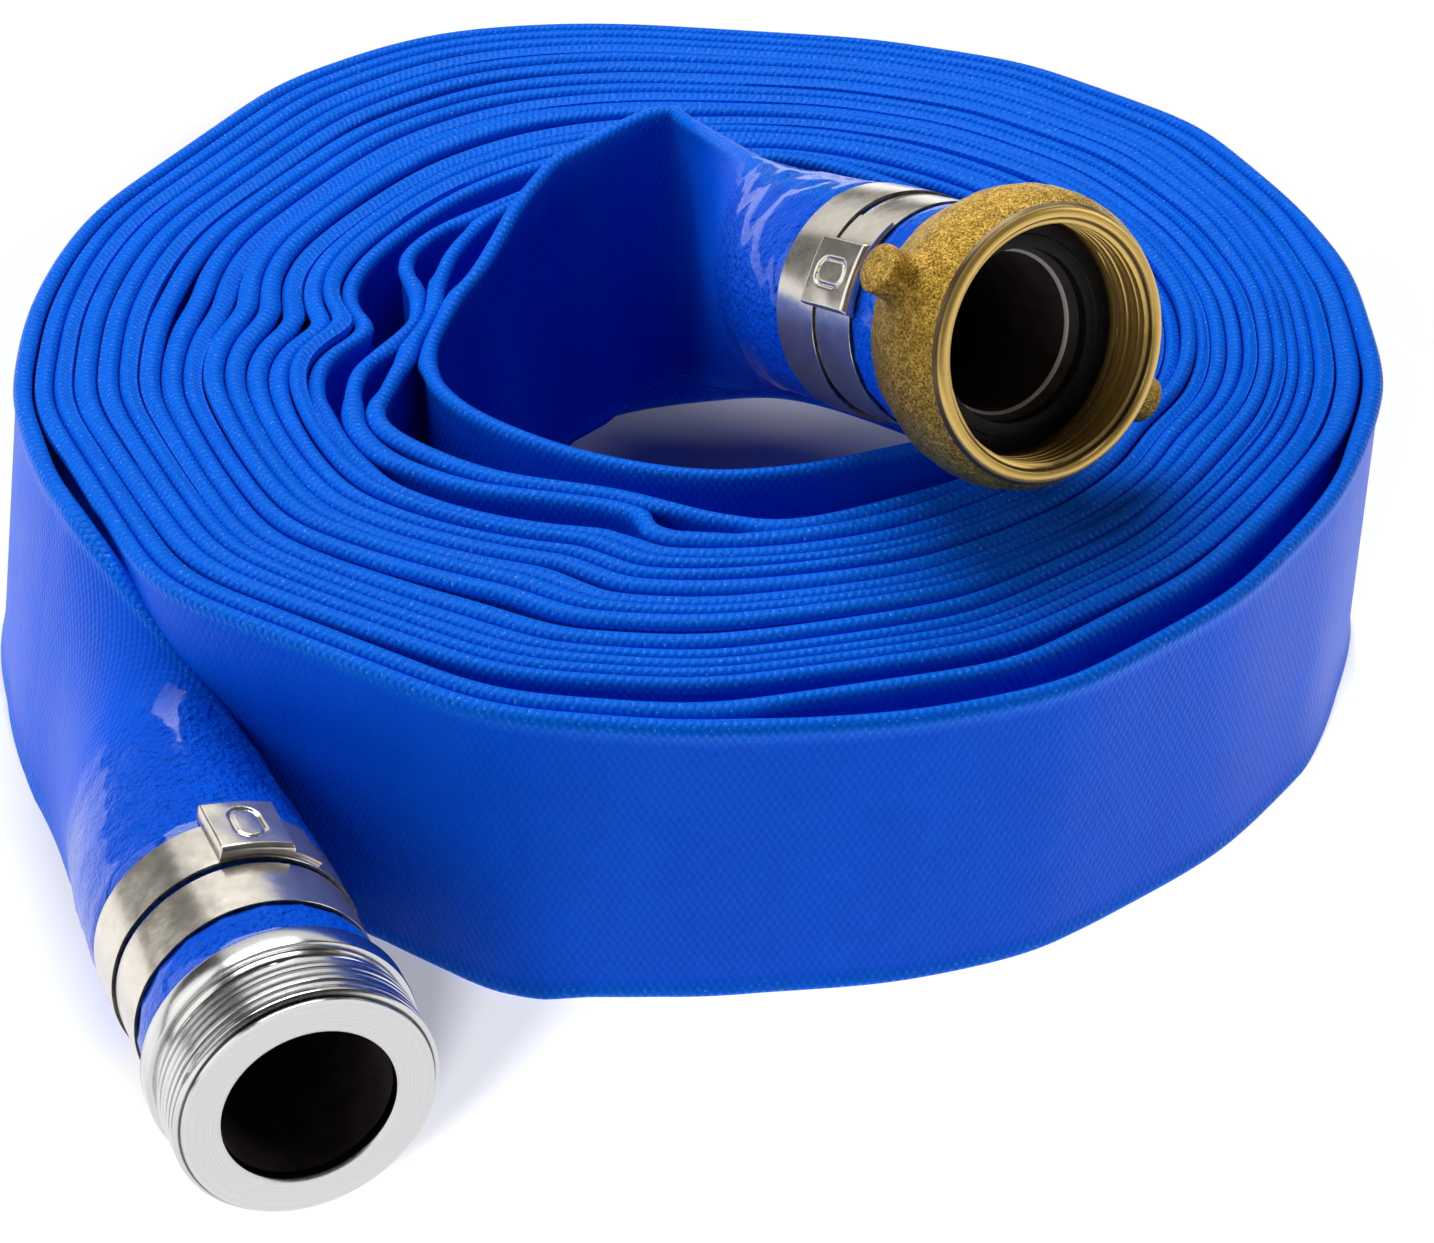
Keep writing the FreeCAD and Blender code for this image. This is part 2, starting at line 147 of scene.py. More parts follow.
def tube_faces(rings, columns, closed=False):
    """Quads between rings of points, each ring joined round; closed joins the last to the first."""
    last = rings if closed else rings - 1
    ring, column = np.meshgrid(np.arange(last), np.arange(columns), indexing="ij")
    right = (column + 1) % columns
    above = (ring + 1) % rings
    quads = np.stack([ring * columns + column, ring * columns + right, above * columns + right,
                      above * columns + column], -1)
    return quads.reshape(-1, 4)


def capped_tube(rings):
    """Points and faces of rings joined into a tube, with a fan of triangles over each end."""
    count, columns = rings.shape[:2]
    base = count * columns
    column = np.arange(columns)
    right = (column + 1) % columns
    first = np.stack([right, column, np.full(columns, base)], 1)
    last = np.stack([column + base - columns, right + base - columns, np.full(columns, base + 1)], 1)
    points = np.vstack([rings.reshape(-1, 3), rings[0].mean(0), rings[-1].mean(0)])
    return points, tube_faces(count, columns).tolist() + first.tolist() + last.tolist()


# ---------------- route of the hose in the roll
# Turns are counted inwards from the front: turn 0 is the outermost layer there, and the angle
# falls by 360 in each turn. The outer end leaves the roll at turn -0.84.
FRONT = -90
FIRST_TURN = -0.84
# Radius of each layer's edge where it passes the front, from turn 0 inwards.
FRONT_RADII = [
    183, 177, 167.5, 163, 158.8, 155.3, 149.5, 143.6, 139.8, 134.3, 127.8, 122.8, 119.3, 114.3, 108,
]
# Corners (angle, radius) of the outer end and the first turn: the hose is flat between them.
OUTER_CORNERS = [
    (214, 181.8), (204, 181.2), (193, 181.3), (180, 180), (170, 180), (161, 181), (132.5, 190.4),
    (121, 193.4), (114, 193.9), (104.6, 188.1), (97.7, 183.6), (73, 178.5), (57, 182.9), (37, 185.1),
    (20, 180), (8, 180.3), (-10, 181), (-20, 179.3), (-29, 179.8), (-45, 182), (-63, 186.4), (-75, 184.2),
    (-90, 182.5), (-105, 183.4), (-135, 181.5), (-165, 176.5), (-180, 174), (-190, 174.5), (-199, 175.5),
    (-228, 184.5), (-239, 188), (-246, 188.5), (-255, 183.5), (-262, 179.3), (-287, 174.5), (-303, 178.5),
    (-323, 180), (-340, 176), (-355, 174.2), (-370, 174), (-380, 172.5), (-393, 168.8), (-405, 170.5),
    (-425, 174.5), (-450, 177), (-465, 176),
]
# Radius of the innermost full layer round the roll: (angle, radius).
INNER_RADII = [
    (-180, 96), (-165, 98.5), (-155, 101.5), (-135, 107.5), (-120, 108), (-90, 108), (-60, 109.5),
    (-30, 113), (0, 115), (30, 110), (60, 105), (90, 101.5), (115, 98), (135, 94.5), (150, 92),
    (165, 92.5), (180, 96),
]
# The last two and a half turns as (x, y) from the roll's centre, in to the foot of the rise.
LAST_TURNS = [
    (0, -107.3), (-6, -106.5), (-11, -103.5), (-15, -97), (-21, -93.5), (-36, -89.5), (-55, -85),
    (-68, -78.5), (-80, -69), (-87, -58), (-90, -45), (-89.5, -29), (-85.5, -20), (-80, -10), (-77, -3),
    (-77.5, 10), (-82, 28), (-81, 36), (-75, 47), (-60, 62), (-38, 80), (-8, 94.5), (24, 96.5), (58, 84),
    (91, 57), (107.5, 21), (107.5, -20), (93.5, -53), (75, -75), (52, -89), (22, -100.5), (6, -98.5),
    (-20, -88), (-50, -80), (-68, -69.5), (-80, -58), (-83, -50), (-81, -38), (-77.5, -20), (-73.5, 0),
    (-71.5, 20), (-69, 34), (-61.5, 52), (-53, 62.5), (-28, 80.5), (0, 89.5), (25, 91.5), (54, 77),
    (84, 50), (95, 15), (93, -15), (82, -42), (66, -60), (45, -70), (22, -77.5), (0, -79), (-30, -70),
    (-56, -52.5), (-67, -39), (-71, -28),
]
# From there the hose climbs: (x, y, share of the whole lift), and folds back at the last corner.
RISE = [
    (-71.8, -17, 0.02), (-70, -8, 0.06), (-65.8, 4.8, 0.15), (-61, 13.5, 0.25), (-56.4, 25.5, 0.36),
    (-51.9, 38.5, 0.48), (-46.6, 49.2, 0.59), (-42.4, 56.2, 0.67), (-40.2, 58.6, 0.7), (-33, 62.6, 0.79),
    (-20.5, 68.8, 0.95), (-14.2, 71.8, 1), (-9.6, 73.2, 1), (-7.4, 72.6, 1), (-6.0, 70.6, 1),
    (-3.0, 65.4, 1),
]
LIFT = 25.0
# Spacing of the route's points, and the share of a turn that each one covers in the wound pack.
FINE_STEP = 0.5
TURN_STEP = FINE_STEP / 1000
FLAT_HALF_THICKNESS = 1.45
FOLD_RADIUS = 2.25
LOOSE_FOLD_RADIUS = 3.1
LAYER_SPACING = 3.1
# How far the lower edge stands out from the upper one, at angles of the outer end and first turn.
LOWER_EDGE_OUT = [
    (-135, 0), (-115, 0), (-109, 1.0), (-105, 2.6), (-101.6, 2.8), (-98.4, 0.3), (-93, -1.5), (-85, -2.8),
    (-60, -2.8), (-47, -0.5), (-39, 1.4), (-31, 2.9), (-20, 1), (20, 0), (110, 0), (130, 2), (150, 5),
    (165, 9), (180, 13), (200, 15), (214, 20),
]
# Lean of the rising wall and of the fold at its end: where the lower edge lies from the upper one.
RISE_LEAN = np.array([2.0, -19.0, 0.0])
FOLD_LEAN = np.array([4.0, -8.0, 0.0])
# Share of the pack's depth at which each layer passes the left, the back and the right.
LEFT_SHARES = [0, 0.054, 0.128, 0.203, 0.277, 0.348, 0.42, 0.493, 0.563, 0.629, 0.702, 0.775, 0.841, 0.907]
BACK_SHARES = [0, 0.079, 0.156, 0.222, 0.3, 0.392, 0.486, 0.562, 0.629, 0.71, 0.79, 0.851, 0.929, 0.995]
RIGHT_SHARES = [0.03, 0.141, 0.215, 0.269, 0.323, 0.384, 0.45, 0.519, 0.59, 0.655, 0.721, 0.787, 0.86, 0.967]


def angle_at(turn):
    return FRONT - 360 * turn


def layer_share(turn):
    """0 on the outermost layer, 1 on the innermost full one."""
    front = (FRONT_RADII[0] - np.array(FRONT_RADII)) / (FRONT_RADII[0] - FRONT_RADII[-1])
    quarters = np.stack([front[:-1], LEFT_SHARES, BACK_SHARES, RIGHT_SHARES], 1).ravel()
    return np.interp(turn, np.arange(len(quarters) + 1) / 4, np.append(quarters, front[-1]))


def bell(reach, width):
    """Weights that round a row of samples, out to a number of them either side."""
    weights = np.exp(-0.5 * (np.arange(-reach, reach + 1) / width) ** 2)
    return weights / weights.sum()


def off_by(angle, middle):
    """Angle past a middle one, from -180 to 180."""
    return (angle - middle + 180) % 360 - 180


def corner_radius(angle):
    """Radius of the outer corners' polygon, its corners rounded, at falling angles."""
    corners = np.array(OUTER_CORNERS, float)
    grid = np.arange(corners[-1, 0], corners[0, 0], 0.5)
    at = np.clip(np.searchsorted(-corners[:, 0], -grid, side="left"), 1, len(corners) - 1)
    (a1, r1), (a2, r2) = corners[at - 1].T, corners[at].T
    a, a1, a2 = np.radians(grid), np.radians(a1), np.radians(a2)
    radius = r1 * r2 * np.sin(a1 - a2) / (r1 * np.sin(a1 - a) + r2 * np.sin(a - a2))
    radius = np.convolve(np.pad(radius, 16, mode="edge"), bell(16, 5.0), mode="valid")
    return np.interp(angle, grid, radius)


def around(knots, angle):
    """Smooth periodic radius through (angle, radius) knots."""
    knots = np.array(knots, float)
    grid = np.arange(-180, 180, 1.0)
    radius = np.interp(grid, knots[:, 0], knots[:, 1])
    radius = np.convolve(np.tile(radius, 3), bell(24, 7.0), mode="same")[360:720]
    return np.interp(off_by(angle, 0), np.append(grid, 180), np.append(radius, radius[0]))


def left_dent(angle, share):
    """The layers on the left are pushed in to a V, deeper and further round towards the middle."""
    depth = 15.5 * rise(share, 0.3, 0.6)
    off = (angle % 360) - (171 + 14.5 * share)
    width = np.where(off > 0, 6.5, 9.5)
    return depth * np.exp(-np.abs(off / width) ** 1.35)


def front_step(angle, share):
    """Left of the front the inner layers sink slowly, then step back out at once."""
    depth = 8.5 * rise(share, 0.3, 0.35)
    off = off_by(angle, FRONT)
    step_at = -16 + 9 * rise(share, 0.4, 0.6) ** 1.3
    sink = rise(off, -46, step_at + 46) ** 1.4
    return depth * sink / (1 + np.exp(np.clip((off - step_at) / 1.1, -50, 50)))


def right_wave(angle, share):
    """Shallow dent on the right, in front, in all but the outer layers."""
    return 2.6 * rise(share, 0.35, 0.2) * np.exp(-(off_by(angle, -26) / 6.5) ** 2)


def wound_radius(turn):
    """Radius of the hose's middle at each turn of the outer end and the wound pack."""
    angle = angle_at(turn)
    share = layer_share(turn)
    within = turn - np.floor(turn)
    first_share = layer_share(within)
    inner = around(INNER_RADII, angle)
    outside = (corner_radius(angle_at(within)) - first_share * inner) / (1 - first_share)
    radius = outside - share * (outside - inner)
    radius -= left_dent(angle, share) + front_step(angle, share) + right_wave(angle, share)
    radius += 0.3 * np.sin(2 * np.pi * 2.37 * turn) * np.clip(share * 8, 0, 1)
    return np.where(turn < 0, corner_radius(angle), radius)


def keep_apart(radius):
    """Move each layer inwards until it is clear of the layer outside it."""
    per_turn = round(1 / TURN_STEP)
    radius = radius.copy()
    slope = np.gradient(radius) / (radius * 2 * np.pi / per_turn)
    room = LAYER_SPACING * np.sqrt(1 + slope ** 2)
    for first in range(per_turn, len(radius), per_turn):
        here = slice(first, min(first + per_turn, len(radius)))
        outside = slice(first - per_turn, here.stop - per_turn)
        radius[here] = np.minimum(radius[here], radius[outside] - room[here])
    spread = np.ones(41) / 41
    radius[20:-20] = np.convolve(radius, spread, mode="valid")
    return radius


def between(t, start, end, a, b):
    """Value a at the start and b at the end."""
    return (end - t) / (end - start) * a + (t - start) / (end - start) * b


def curve_through(points, step):
    """Centripetal Catmull-Rom curve through points, as closely spaced points."""
    points = np.array(points, float)
    ends = np.vstack([2 * points[0] - points[1], points, 2 * points[-1] - points[-2]])
    made = []
    for i in range(1, len(ends) - 2):
        p0, p1, p2, p3 = ends[i - 1:i + 3]
        t1 = np.linalg.norm(p1[:2] - p0[:2]) ** 0.5
        t2 = t1 + np.linalg.norm(p2[:2] - p1[:2]) ** 0.5
        t3 = t2 + np.linalg.norm(p3[:2] - p2[:2]) ** 0.5
        count = max(2, int(np.linalg.norm(p2[:2] - p1[:2]) / step))
        t = np.linspace(t1, t2, count, endpoint=False)[:, None]
        middle = between(t, t1, t2, p1, p2)
        before = between(t, 0, t2, between(t, 0, t1, p0, p1), middle)
        after = between(t, t1, t3, middle, between(t, t2, t3, p2, p3))
        made.append(between(t, t1, t2, before, after))
    return np.vstack([*made, points[-1:]])


def flat_route():
    """Middle line of the flat hose: x, y and the height of its lower edge, closely spaced."""
    # The wound pack stops just short of the front, where the last turns start.
    last_turn = len(FRONT_RADII) - 1 - 0.012
    turns = np.arange(FIRST_TURN, last_turn, TURN_STEP)
    angle = np.radians(angle_at(turns))
    radius = keep_apart(wound_radius(turns))
    wound = np.stack([radius * np.cos(angle), radius * np.sin(angle), 0 * radius], 1)
    inner = [(x, y, 0) for x, y in LAST_TURNS] + [(x, y, LIFT * share) for x, y, share in RISE]
    inner = curve_through(inner, FINE_STEP)
    line = np.vstack([wound[:-1], inner])
    line[:, :2] += ROLL_CENTRE[:2]
    return line


def along(line):
    """Distance travelled at each point of a line."""
    return np.concatenate([[0], np.cumsum(np.linalg.norm(np.diff(line[:, :2], axis=0), axis=1))])


def travel_directions(line):
    """Unit direction of travel, seen from above, at each point of a line."""
    return unit(np.gradient(line[:, :2], axis=0))


def route_turns(count):
    """Turn at each point of the route; the last turns go on counting past the wound ones."""
    return FIRST_TURN + np.arange(count) * TURN_STEP


def lower_edge_out(turn):
    """How far out the lower edge stands at a turn; the hose's left is the roll's outside."""
    angles, shifts = np.array(LOWER_EDGE_OUT).T
    return np.interp(angle_at(turn), angles, shifts, left=0)


# A ring follows the last after this distance, or sooner by the angle that the hose turns.
RING_SPACING, RING_TURN = 4.5, math.radians(5)
# Gap that counts as open, and the distance along the hose within which points are one layer.
OPEN, SAME_LAYER = 20.0, 60.0


def pick_rings(line):
    """Indices of fine points that become rings: close together where the hose turns sharply."""
    travel = travel_directions(line)
    heading = np.unwrap(np.arctan2(travel[:, 1], travel[:, 0]))
    turned_by = np.concatenate([[0], np.cumsum(np.abs(np.diff(heading)))])
    measure = along(line) / RING_SPACING + turned_by / RING_TURN
    found = np.unique(np.searchsorted(measure, np.arange(0, measure[-1], 1.0)))
    return np.append(found, len(line) - 1)


def clearances(line, rings, travel):
    """Distance from each ring to the next layer on its left and on its right, up to OPEN."""
    distance = along(line)
    others, other_distance = line[::3, :2], distance[::3]
    gaps = np.full((len(rings), 2), OPEN)
    for block in np.array_split(np.arange(len(rings)), 60):
        at = rings[block]
        away = others[None] - line[at, None, :2]
        reach = np.linalg.norm(away, axis=2)
        reach[np.abs(other_distance[None] - distance[at, None]) < SAME_LAYER] = OPEN
        left = travel[at, None, 0] * away[..., 1] - travel[at, None, 1] * away[..., 0]
        gaps[block, 0] = np.where(left > 0, reach, OPEN).min(1)
        gaps[block, 1] = np.where(left < 0, reach, OPEN).min(1)
    return np.minimum(gaps, OPEN)


# ---------------- cross-section of the hose
# Half of the flat section, from the upper fold down one side: angle round the fold,
# then shares of the half width down the wall. The lower fold mirrors the upper one.
FOLD_ANGLES = np.radians([30, 60, 90, 125])
WALL_SHARES = np.array([0.84, 0.64, 0.43, 0.21, 0.0, -0.21, -0.43, -0.64, -0.84])
COLUMNS = 40


def flat_section(folds, walls, half_width, groove=0.0):
    """Offsets (sideways, up) of one ring; folds and walls are (left, right) half thicknesses."""
    pole = (min(folds[0], FOLD_RADIUS) + min(folds[1], FOLD_RADIUS)) / 2
    sides = []
    for fold, wall in zip(folds, walls):
        fold_out = fold * np.sin(FOLD_ANGLES)
        fold_out[-1] = max(fold_out[-1], wall)
        fold_up = half_width - pole * (1 - np.cos(FOLD_ANGLES))
        below_fold = half_width - 2.7 * pole
        out = np.concatenate([fold_out, [wall], np.full(len(WALL_SHARES), wall), [wall], fold_out[::-1]])
        up = np.concatenate([fold_up, [below_fold], WALL_SHARES * half_width, [-below_fold], -fold_up[::-1]])
        sides.append((out, up))
    (left_out, left_up), (right_out, right_up) = sides
    out = np.concatenate([[0], left_out, [0], -right_out[::-1]])
    up = np.concatenate([[half_width], left_up, [-half_width], right_up[::-1]])
    up[1] -= max(groove, 0)
    up[-1] -= max(-groove, 0)
    return out, up


def round_share():
    """Share of the way round at each column of a flat ring."""
    out, up = flat_section((FOLD_RADIUS,) * 2, (FLAT_HALF_THICKNESS,) * 2, HALF_WIDTH)
    steps = np.hypot(np.diff(np.append(out, out[0])), np.diff(np.append(up, up[0])))
    return np.concatenate([[0], np.cumsum(steps)])[:-1] / steps.sum()


ROUND_SHARE = round_share()
PERIMETER = 2 * HOSE_WIDTH


# Gap beside a layer under which it is pressed by its neighbours.
PRESSED = 9


def edge_wobble(distance):
    """The layers' upper and lower edges are up to 1.5 mm uneven, but not where the hose rises."""
    waves = distance / 900
    wobble = 0.9 * np.sin(2 * np.pi * 0.83 * waves) + 0.6 * np.sin(2 * np.pi * 1.71 * waves + 1)
    return wobble * smooth_step((distance[-1] - distance - 350) / 200)


def fold_groove(turn, beside):
    """Pressed layers show a groove beside the middle of the fold, to the left or to the right."""
    groove = 1.7 * np.sin(2 * np.pi * 0.63 * turn + 0.4) + 0.8 * np.sin(2 * np.pi * 2.3 * turn)
    from_front = np.abs((turn + 0.5) % 1 - 0.5)
    groove = np.clip(groove, -0.95, 0.95) * smooth_step((PRESSED - beside) / 3)
    return groove * smooth_step(from_front / 0.16 - 0.25)


def lean_at(height):
    """Where the lower edge lies from the upper one, at a height of the lower edge."""
    climbed = height / LIFT
    at_fold = smooth_step((climbed - 0.8) / 0.2)
    return RISE_LEAN * smooth_step(climbed / 0.35) * (1 - at_fold) + FOLD_LEAN * at_fold


def pressed_section(gaps, groove):
    """Offsets of one ring that is pressed between the layers at its two gaps."""
    most = FOLD_RADIUS + (LOOSE_FOLD_RADIUS - FOLD_RADIUS) * smooth_step((PRESSED - gaps) / 2)
    folds = np.clip(gaps / 2 - 0.06, 0.8, most)
    walls = np.clip(gaps / 2 - 0.2, 0.7, FLAT_HALF_THICKNESS)
    return flat_section(folds, walls, HALF_WIDTH, groove)


def flat_rings():
    """Rings of the whole flat stretch, the distance along it, and the travel at both ends."""
    line = flat_route()
    rings = pick_rings(line)
    travel = travel_directions(line)
    for axis in (0, 1):
        travel[2:-2, axis] = np.convolve(travel[:, axis], np.ones(5) / 5, mode="valid")
    travel = unit(travel)
    gaps = clearances(line, rings, travel)
    distance = along(line)[rings]
    turn_at = route_turns(len(line))[rings]
    wobble = edge_wobble(distance)
    groove = fold_groove(turn_at, gaps.mean(1))
    made = []
    for k, i in enumerate(rings):
        out, up = pressed_section(gaps[k], groove[k])
        left = np.array([-travel[i, 1], travel[i, 0], 0])
        low = line[i, 2] + max(0, wobble[k]) * 0.8
        squeeze = 1 + min(0, wobble[k]) / HOSE_WIDTH
        height = low + (up + HALF_WIDTH) * squeeze
        lean = lean_at(line[i, 2]) + left * lower_edge_out(turn_at[k])
        lower = (1 - (up + HALF_WIDTH) / HOSE_WIDTH)[:, None]
        middle = np.append(line[i, :2], 0)
        made.append(middle + out[:, None] * left + height[:, None] * UP + lower * lean)
    start, end = np.append(travel[0], 0), np.append(travel[-1], 0)
    return np.array(made), distance, start, end


def round_ring(coupling, radius, behind, side):
    """Ring on a coupling's axis; side is +1 where the hose's left lies at the level axis."""
    angle = coupling.fold_angle - side * 2 * math.pi * ROUND_SHARE
    return coupling.polar(radius, angle, np.full(COLUMNS, behind))


def neck_rings(flat_end, direction, coupling, behind, radius, side, count, reach, straight):
    """Rings between a flat ring and a round one: each column follows a smooth curve."""
    target = round_ring(coupling, radius, behind, side)
    span = np.linalg.norm(target.mean(0) - flat_end.mean(0)) * reach
    leave = (1 - straight) * span * direction + straight * (target - flat_end)
    made = []
    for share in np.linspace(0, 1, count + 1)[1:]:
        s2, s3 = share ** 2, share ** 3
        ring = (2 * s3 - 3 * s2 + 1) * flat_end + (s3 - 2 * s2 + share) * leave
        ring += (3 * s2 - 2 * s3) * target + (s3 - s2) * span * coupling.out
        made.append(ring)
    return np.array(made)


# Outside of the hose on a coupling: (radius, distance behind the mouth), clamp end first.
MALE_SLEEVE = [
    (28.9, 75), (29.3, 72.5), (29.1, 70.5), (28.45, 68.6), (28.45, 54.0), (27.3, 53.1), (27.2, 52.1),
    (27.65, 51.4), (27.65, 37.4), (27.9, 36.4), (28.5, 34.5), (28.6, 32), (28.5, 28), (28.3, 26),
    (28.0, 25), (27.5, 24.4),
]
SWIVEL_SLEEVE = [
    (28.9, 82), (29.3, 79.5), (29.1, 77), (28.45, 75), (28.45, 60), (28.0, 59.2), (27.65, 58.4),
    (27.65, 43.8), (27.9, 43), (28.4, 41), (28.4, 38), (28.3, 34.5), (28.0, 33), (27.5, 31.9),
]
SLEEVE_INSIDE = 26.05
WALL = 1.6


def wrinkled(neck):
    """A neck's rings with shallow lumps towards its round end, where a clamp gathers the hose."""
    away = unit(neck - neck.mean(1, keepdims=True))
    lumps = cast_lumps(neck, 9.0, 0.3, 11) + cast_lumps(neck * [1, 1, 0.6], 4.0, 0.14, 12)
    strength = smooth_step((np.linspace(0, 1, len(neck)) - 0.25) / 0.5)
    return neck + away * (np.minimum(lumps, 0.35) * strength[:, None])[..., None]


def sleeve_rings(coupling, sleeve, side):
    """Round rings from the neck to the cut end, then back along the inside."""
    outer = [round_ring(coupling, r, s, side) for r, s in sleeve]
    cut = sleeve[-1][1]
    inner = [(SLEEVE_INSIDE + 0.5, cut - 0.15), (SLEEVE_INSIDE, cut), (SLEEVE_INSIDE, cut + 15),
             (SLEEVE_INSIDE, sleeve[0][1] - 3)]
    return np.array(outer), np.array([round_ring(coupling, r, s, side) for r, s in inner])


def inside_rings(neck):
    """Inner surface of the open part of a neck, from the round end in to a closed throat."""
    made = []
    for ring in neck[::-1][:int(len(neck) * 0.6)]:
        middle = ring.mean(0)
        away = ring - middle
        reach = np.linalg.norm(away, axis=1, keepdims=True)
        made.append(middle + away * (1 - WALL / reach))
    return np.array(made)


def coupled_end(flat_end, direction, coupling, sleeve, side, count, reach, straight):
    """Neck, outside of the sleeve and both inner surfaces of one end of the hose."""
    radius, behind = sleeve[0]
    neck = wrinkled(neck_rings(flat_end, direction, coupling, behind, radius, side, count, reach, straight))
    outer, inner = sleeve_rings(coupling, sleeve, side)
    return neck, outer[1:], inner, inside_rings(neck)


def length_and_girth(length):
    """Texture coordinates of the hose's quads, in metres, from the length at each ring."""
    rings = len(length)
    round_at = np.append(ROUND_SHARE, 1) * PERIMETER / 1000
    ring_of, column_of = np.divmod(np.arange((rings - 1) * COLUMNS), COLUMNS)
    u0, u1 = length[ring_of] / 1000, length[ring_of + 1] / 1000
    v0, v1 = round_at[column_of], round_at[column_of + 1]
    return np.stack([u0, v0, u0, v1, u1, v1, u1, v0], 1).reshape(-1, 2)


def build_hose(material):
    """The whole hose as one closed mesh, with its own length and girth as texture coordinates."""
    flat, distance, start, end = flat_rings()
    male = coupled_end(flat[0], -start, MALE, MALE_SLEEVE, side=-1, count=44, reach=0.95, straight=0.35)
    swivel = coupled_end(flat[-1], end, SWIVEL, SWIVEL_SLEEVE, side=1, count=52, reach=0.8, straight=0.8)
    before = [part[::-1] for part in male[::-1]]
    points = np.concatenate([*before, flat, *swivel])
    flat_first = sum(len(part) for part in before)
    flat_stop = flat_first + len(flat)

    # The length is measured on the rings' middles, and on the route where the hose is flat.
    length = np.linalg.norm(np.diff(points.mean(1), axis=0), axis=1)
    length = np.concatenate([[0], np.cumsum(length)])
    shown = length.copy()
    shown[flat_first:flat_stop] = length[flat_first] + distance
    shown[flat_stop:] += shown[flat_stop - 1] - length[flat_stop - 1]

    # The cover is crinkled on each neck, more and more towards its clamps.
    crinkle = np.zeros(len(points))
    male_count, swivel_count = (len(neck) + len(outer) for neck, outer, _, _ in (male, swivel))
    for first, count, step in ((flat_first - male_count, male_count, -1), (flat_stop, swivel_count, 1)):
        share = np.linspace(0, 1, count)[::step]
        crinkle[first:first + count] = smooth_step((share - 0.2) / 0.45)

    corners, faces = capped_tube(points)
    # The triangles of both end caps lie deep inside, so their texture coordinates stay 0.
    uv = np.concatenate([length_and_girth(shown), np.zeros((6 * COLUMNS, 2))])
    hose = add_piece("hose", corners, faces, [material], uv=uv, sharp=math.radians(75))
    mask = hose.data.attributes.new("crinkle", "FLOAT", "POINT")
    mask.data.foreach_set("value", np.append(np.repeat(crinkle, COLUMNS), [0, 0]).astype(np.float32))
    return hose


# ---------------- turned pieces
PITCH = 25.4 / 11.5
THREAD_STEP = 0.16


def thread_rows(start, end):
    """Stations of the fine rows that carry a thread."""
    count = int(abs(end - start) / THREAD_STEP)
    return np.linspace(start, end, count)


def thread_depth(angle, behind, start, end):
    """0 at the root and 1 at the crest of a right-hand thread that fades out at both ends."""
    phase = behind / PITCH + angle / (2 * math.pi)
    ridge = smooth_step(1.1 + 1.2 * np.cos(2 * np.pi * phase))
    fade = smooth_step((behind - start) / 0.9) * smooth_step((end - behind) / 1.4)
    return ridge * fade


def with_helix(angle, behind, start, end, seam):
    """Stations moved so that a mesh's rows follow the thread, with a quick return at the seam."""
    share = ((angle - seam) / (2 * np.pi)) % 1
    drift = PITCH * np.interp(share, (0, 0.03, 0.97, 1), (0, 0.47, -0.47, 0))
    return behind + drift * smooth_step((behind - start) / 3) * smooth_step((end - behind) / 3)


def turned(name, coupling, profile, materials, segments, shape=None, sharp=math.radians(34)):
    """Closed ring of a profile of (radius, behind, material) rows turned about an axis."""
    rows = np.array(profile, float)
    angle = np.linspace(0, 2 * np.pi, segments, endpoint=False)[None]
    radius = np.repeat(rows[:, :1], segments, axis=1)
    behind = np.repeat(rows[:, 1:2], segments, axis=1)
    if shape is not None:
        radius, behind = shape(radius, behind, angle + 0 * radius, rows[:, 2:3] + 0 * radius)
    points = coupling.polar(radius, angle, behind).reshape(-1, 3)
    faces = tube_faces(len(rows), segments, closed=True)
    slots = np.repeat(rows[:, 2].astype(int), segments)
    return add_piece(name, points, faces, materials, slots, sharp=sharp)


def rows_of(slot, *rows):
    """Profile rows (radius, behind) of one material."""
    return [(*row, slot) for row in rows]


# Bores, and the barbed tails' outside.
MALE_BORE, TAIL_BORE, TAIL_RADIUS = 19.6, 19.4, 25.2
MALE_THREAD = (0.9, 15.2)
MALE_ROOT, MALE_CREST = 28.5, 29.95
NUT_THREAD = (0.8, 13.6)
NUT_ROOT, NUT_CREST = 29.9, 28.5
# Angles where the meshes of the threads step back by one pitch.
MALE_SEAM, NUT_SEAM = math.radians(270), math.radians(180)


def male_shank(machined, dark):
    """Threaded shank: bore, flat face, thread, flange and the tail inside the hose."""
    thread = [(MALE_ROOT, s) for s in thread_rows(*MALE_THREAD)]
    profile = rows_of(1, (MALE_BORE, 70.6), (MALE_BORE, 40)) + rows_of(
        0, (MALE_BORE, 3.0), (MALE_BORE, 0.9), (19.8, 0.45), (20.5, 0.06), (20.9, 0), (23, 0), (26, 0),
        (28.0, 0), (28.3, 0.12), *thread, (28.8, 15.5), (29.1, 15.9), (29.2, 17.2), (29.3, 17.45),
        (30.3, 17.5), (30.8, 17.7), (31, 18.2), (31, 23.3), (30.8, 23.8), (30.3, 24), (25.4, 24),
        (TAIL_RADIUS, 24.3), (TAIL_RADIUS, 70.6), (24.8, 71),
    ) + rows_of(1, (20.0, 71))

    def shape(radius, behind, angle, slot):
        on_thread = (behind > MALE_THREAD[0]) & (behind < MALE_THREAD[1]) & (radius > 28.4)
        behind = np.where(on_thread, with_helix(angle, behind, *MALE_THREAD, MALE_SEAM), behind)
        depth = thread_depth(angle, behind, *MALE_THREAD) * (MALE_CREST - MALE_ROOT)
        return radius + np.where(on_thread, depth, 0), behind

    return turned("male_threaded_shank", MALE, profile, [machined, dark], 224, shape)


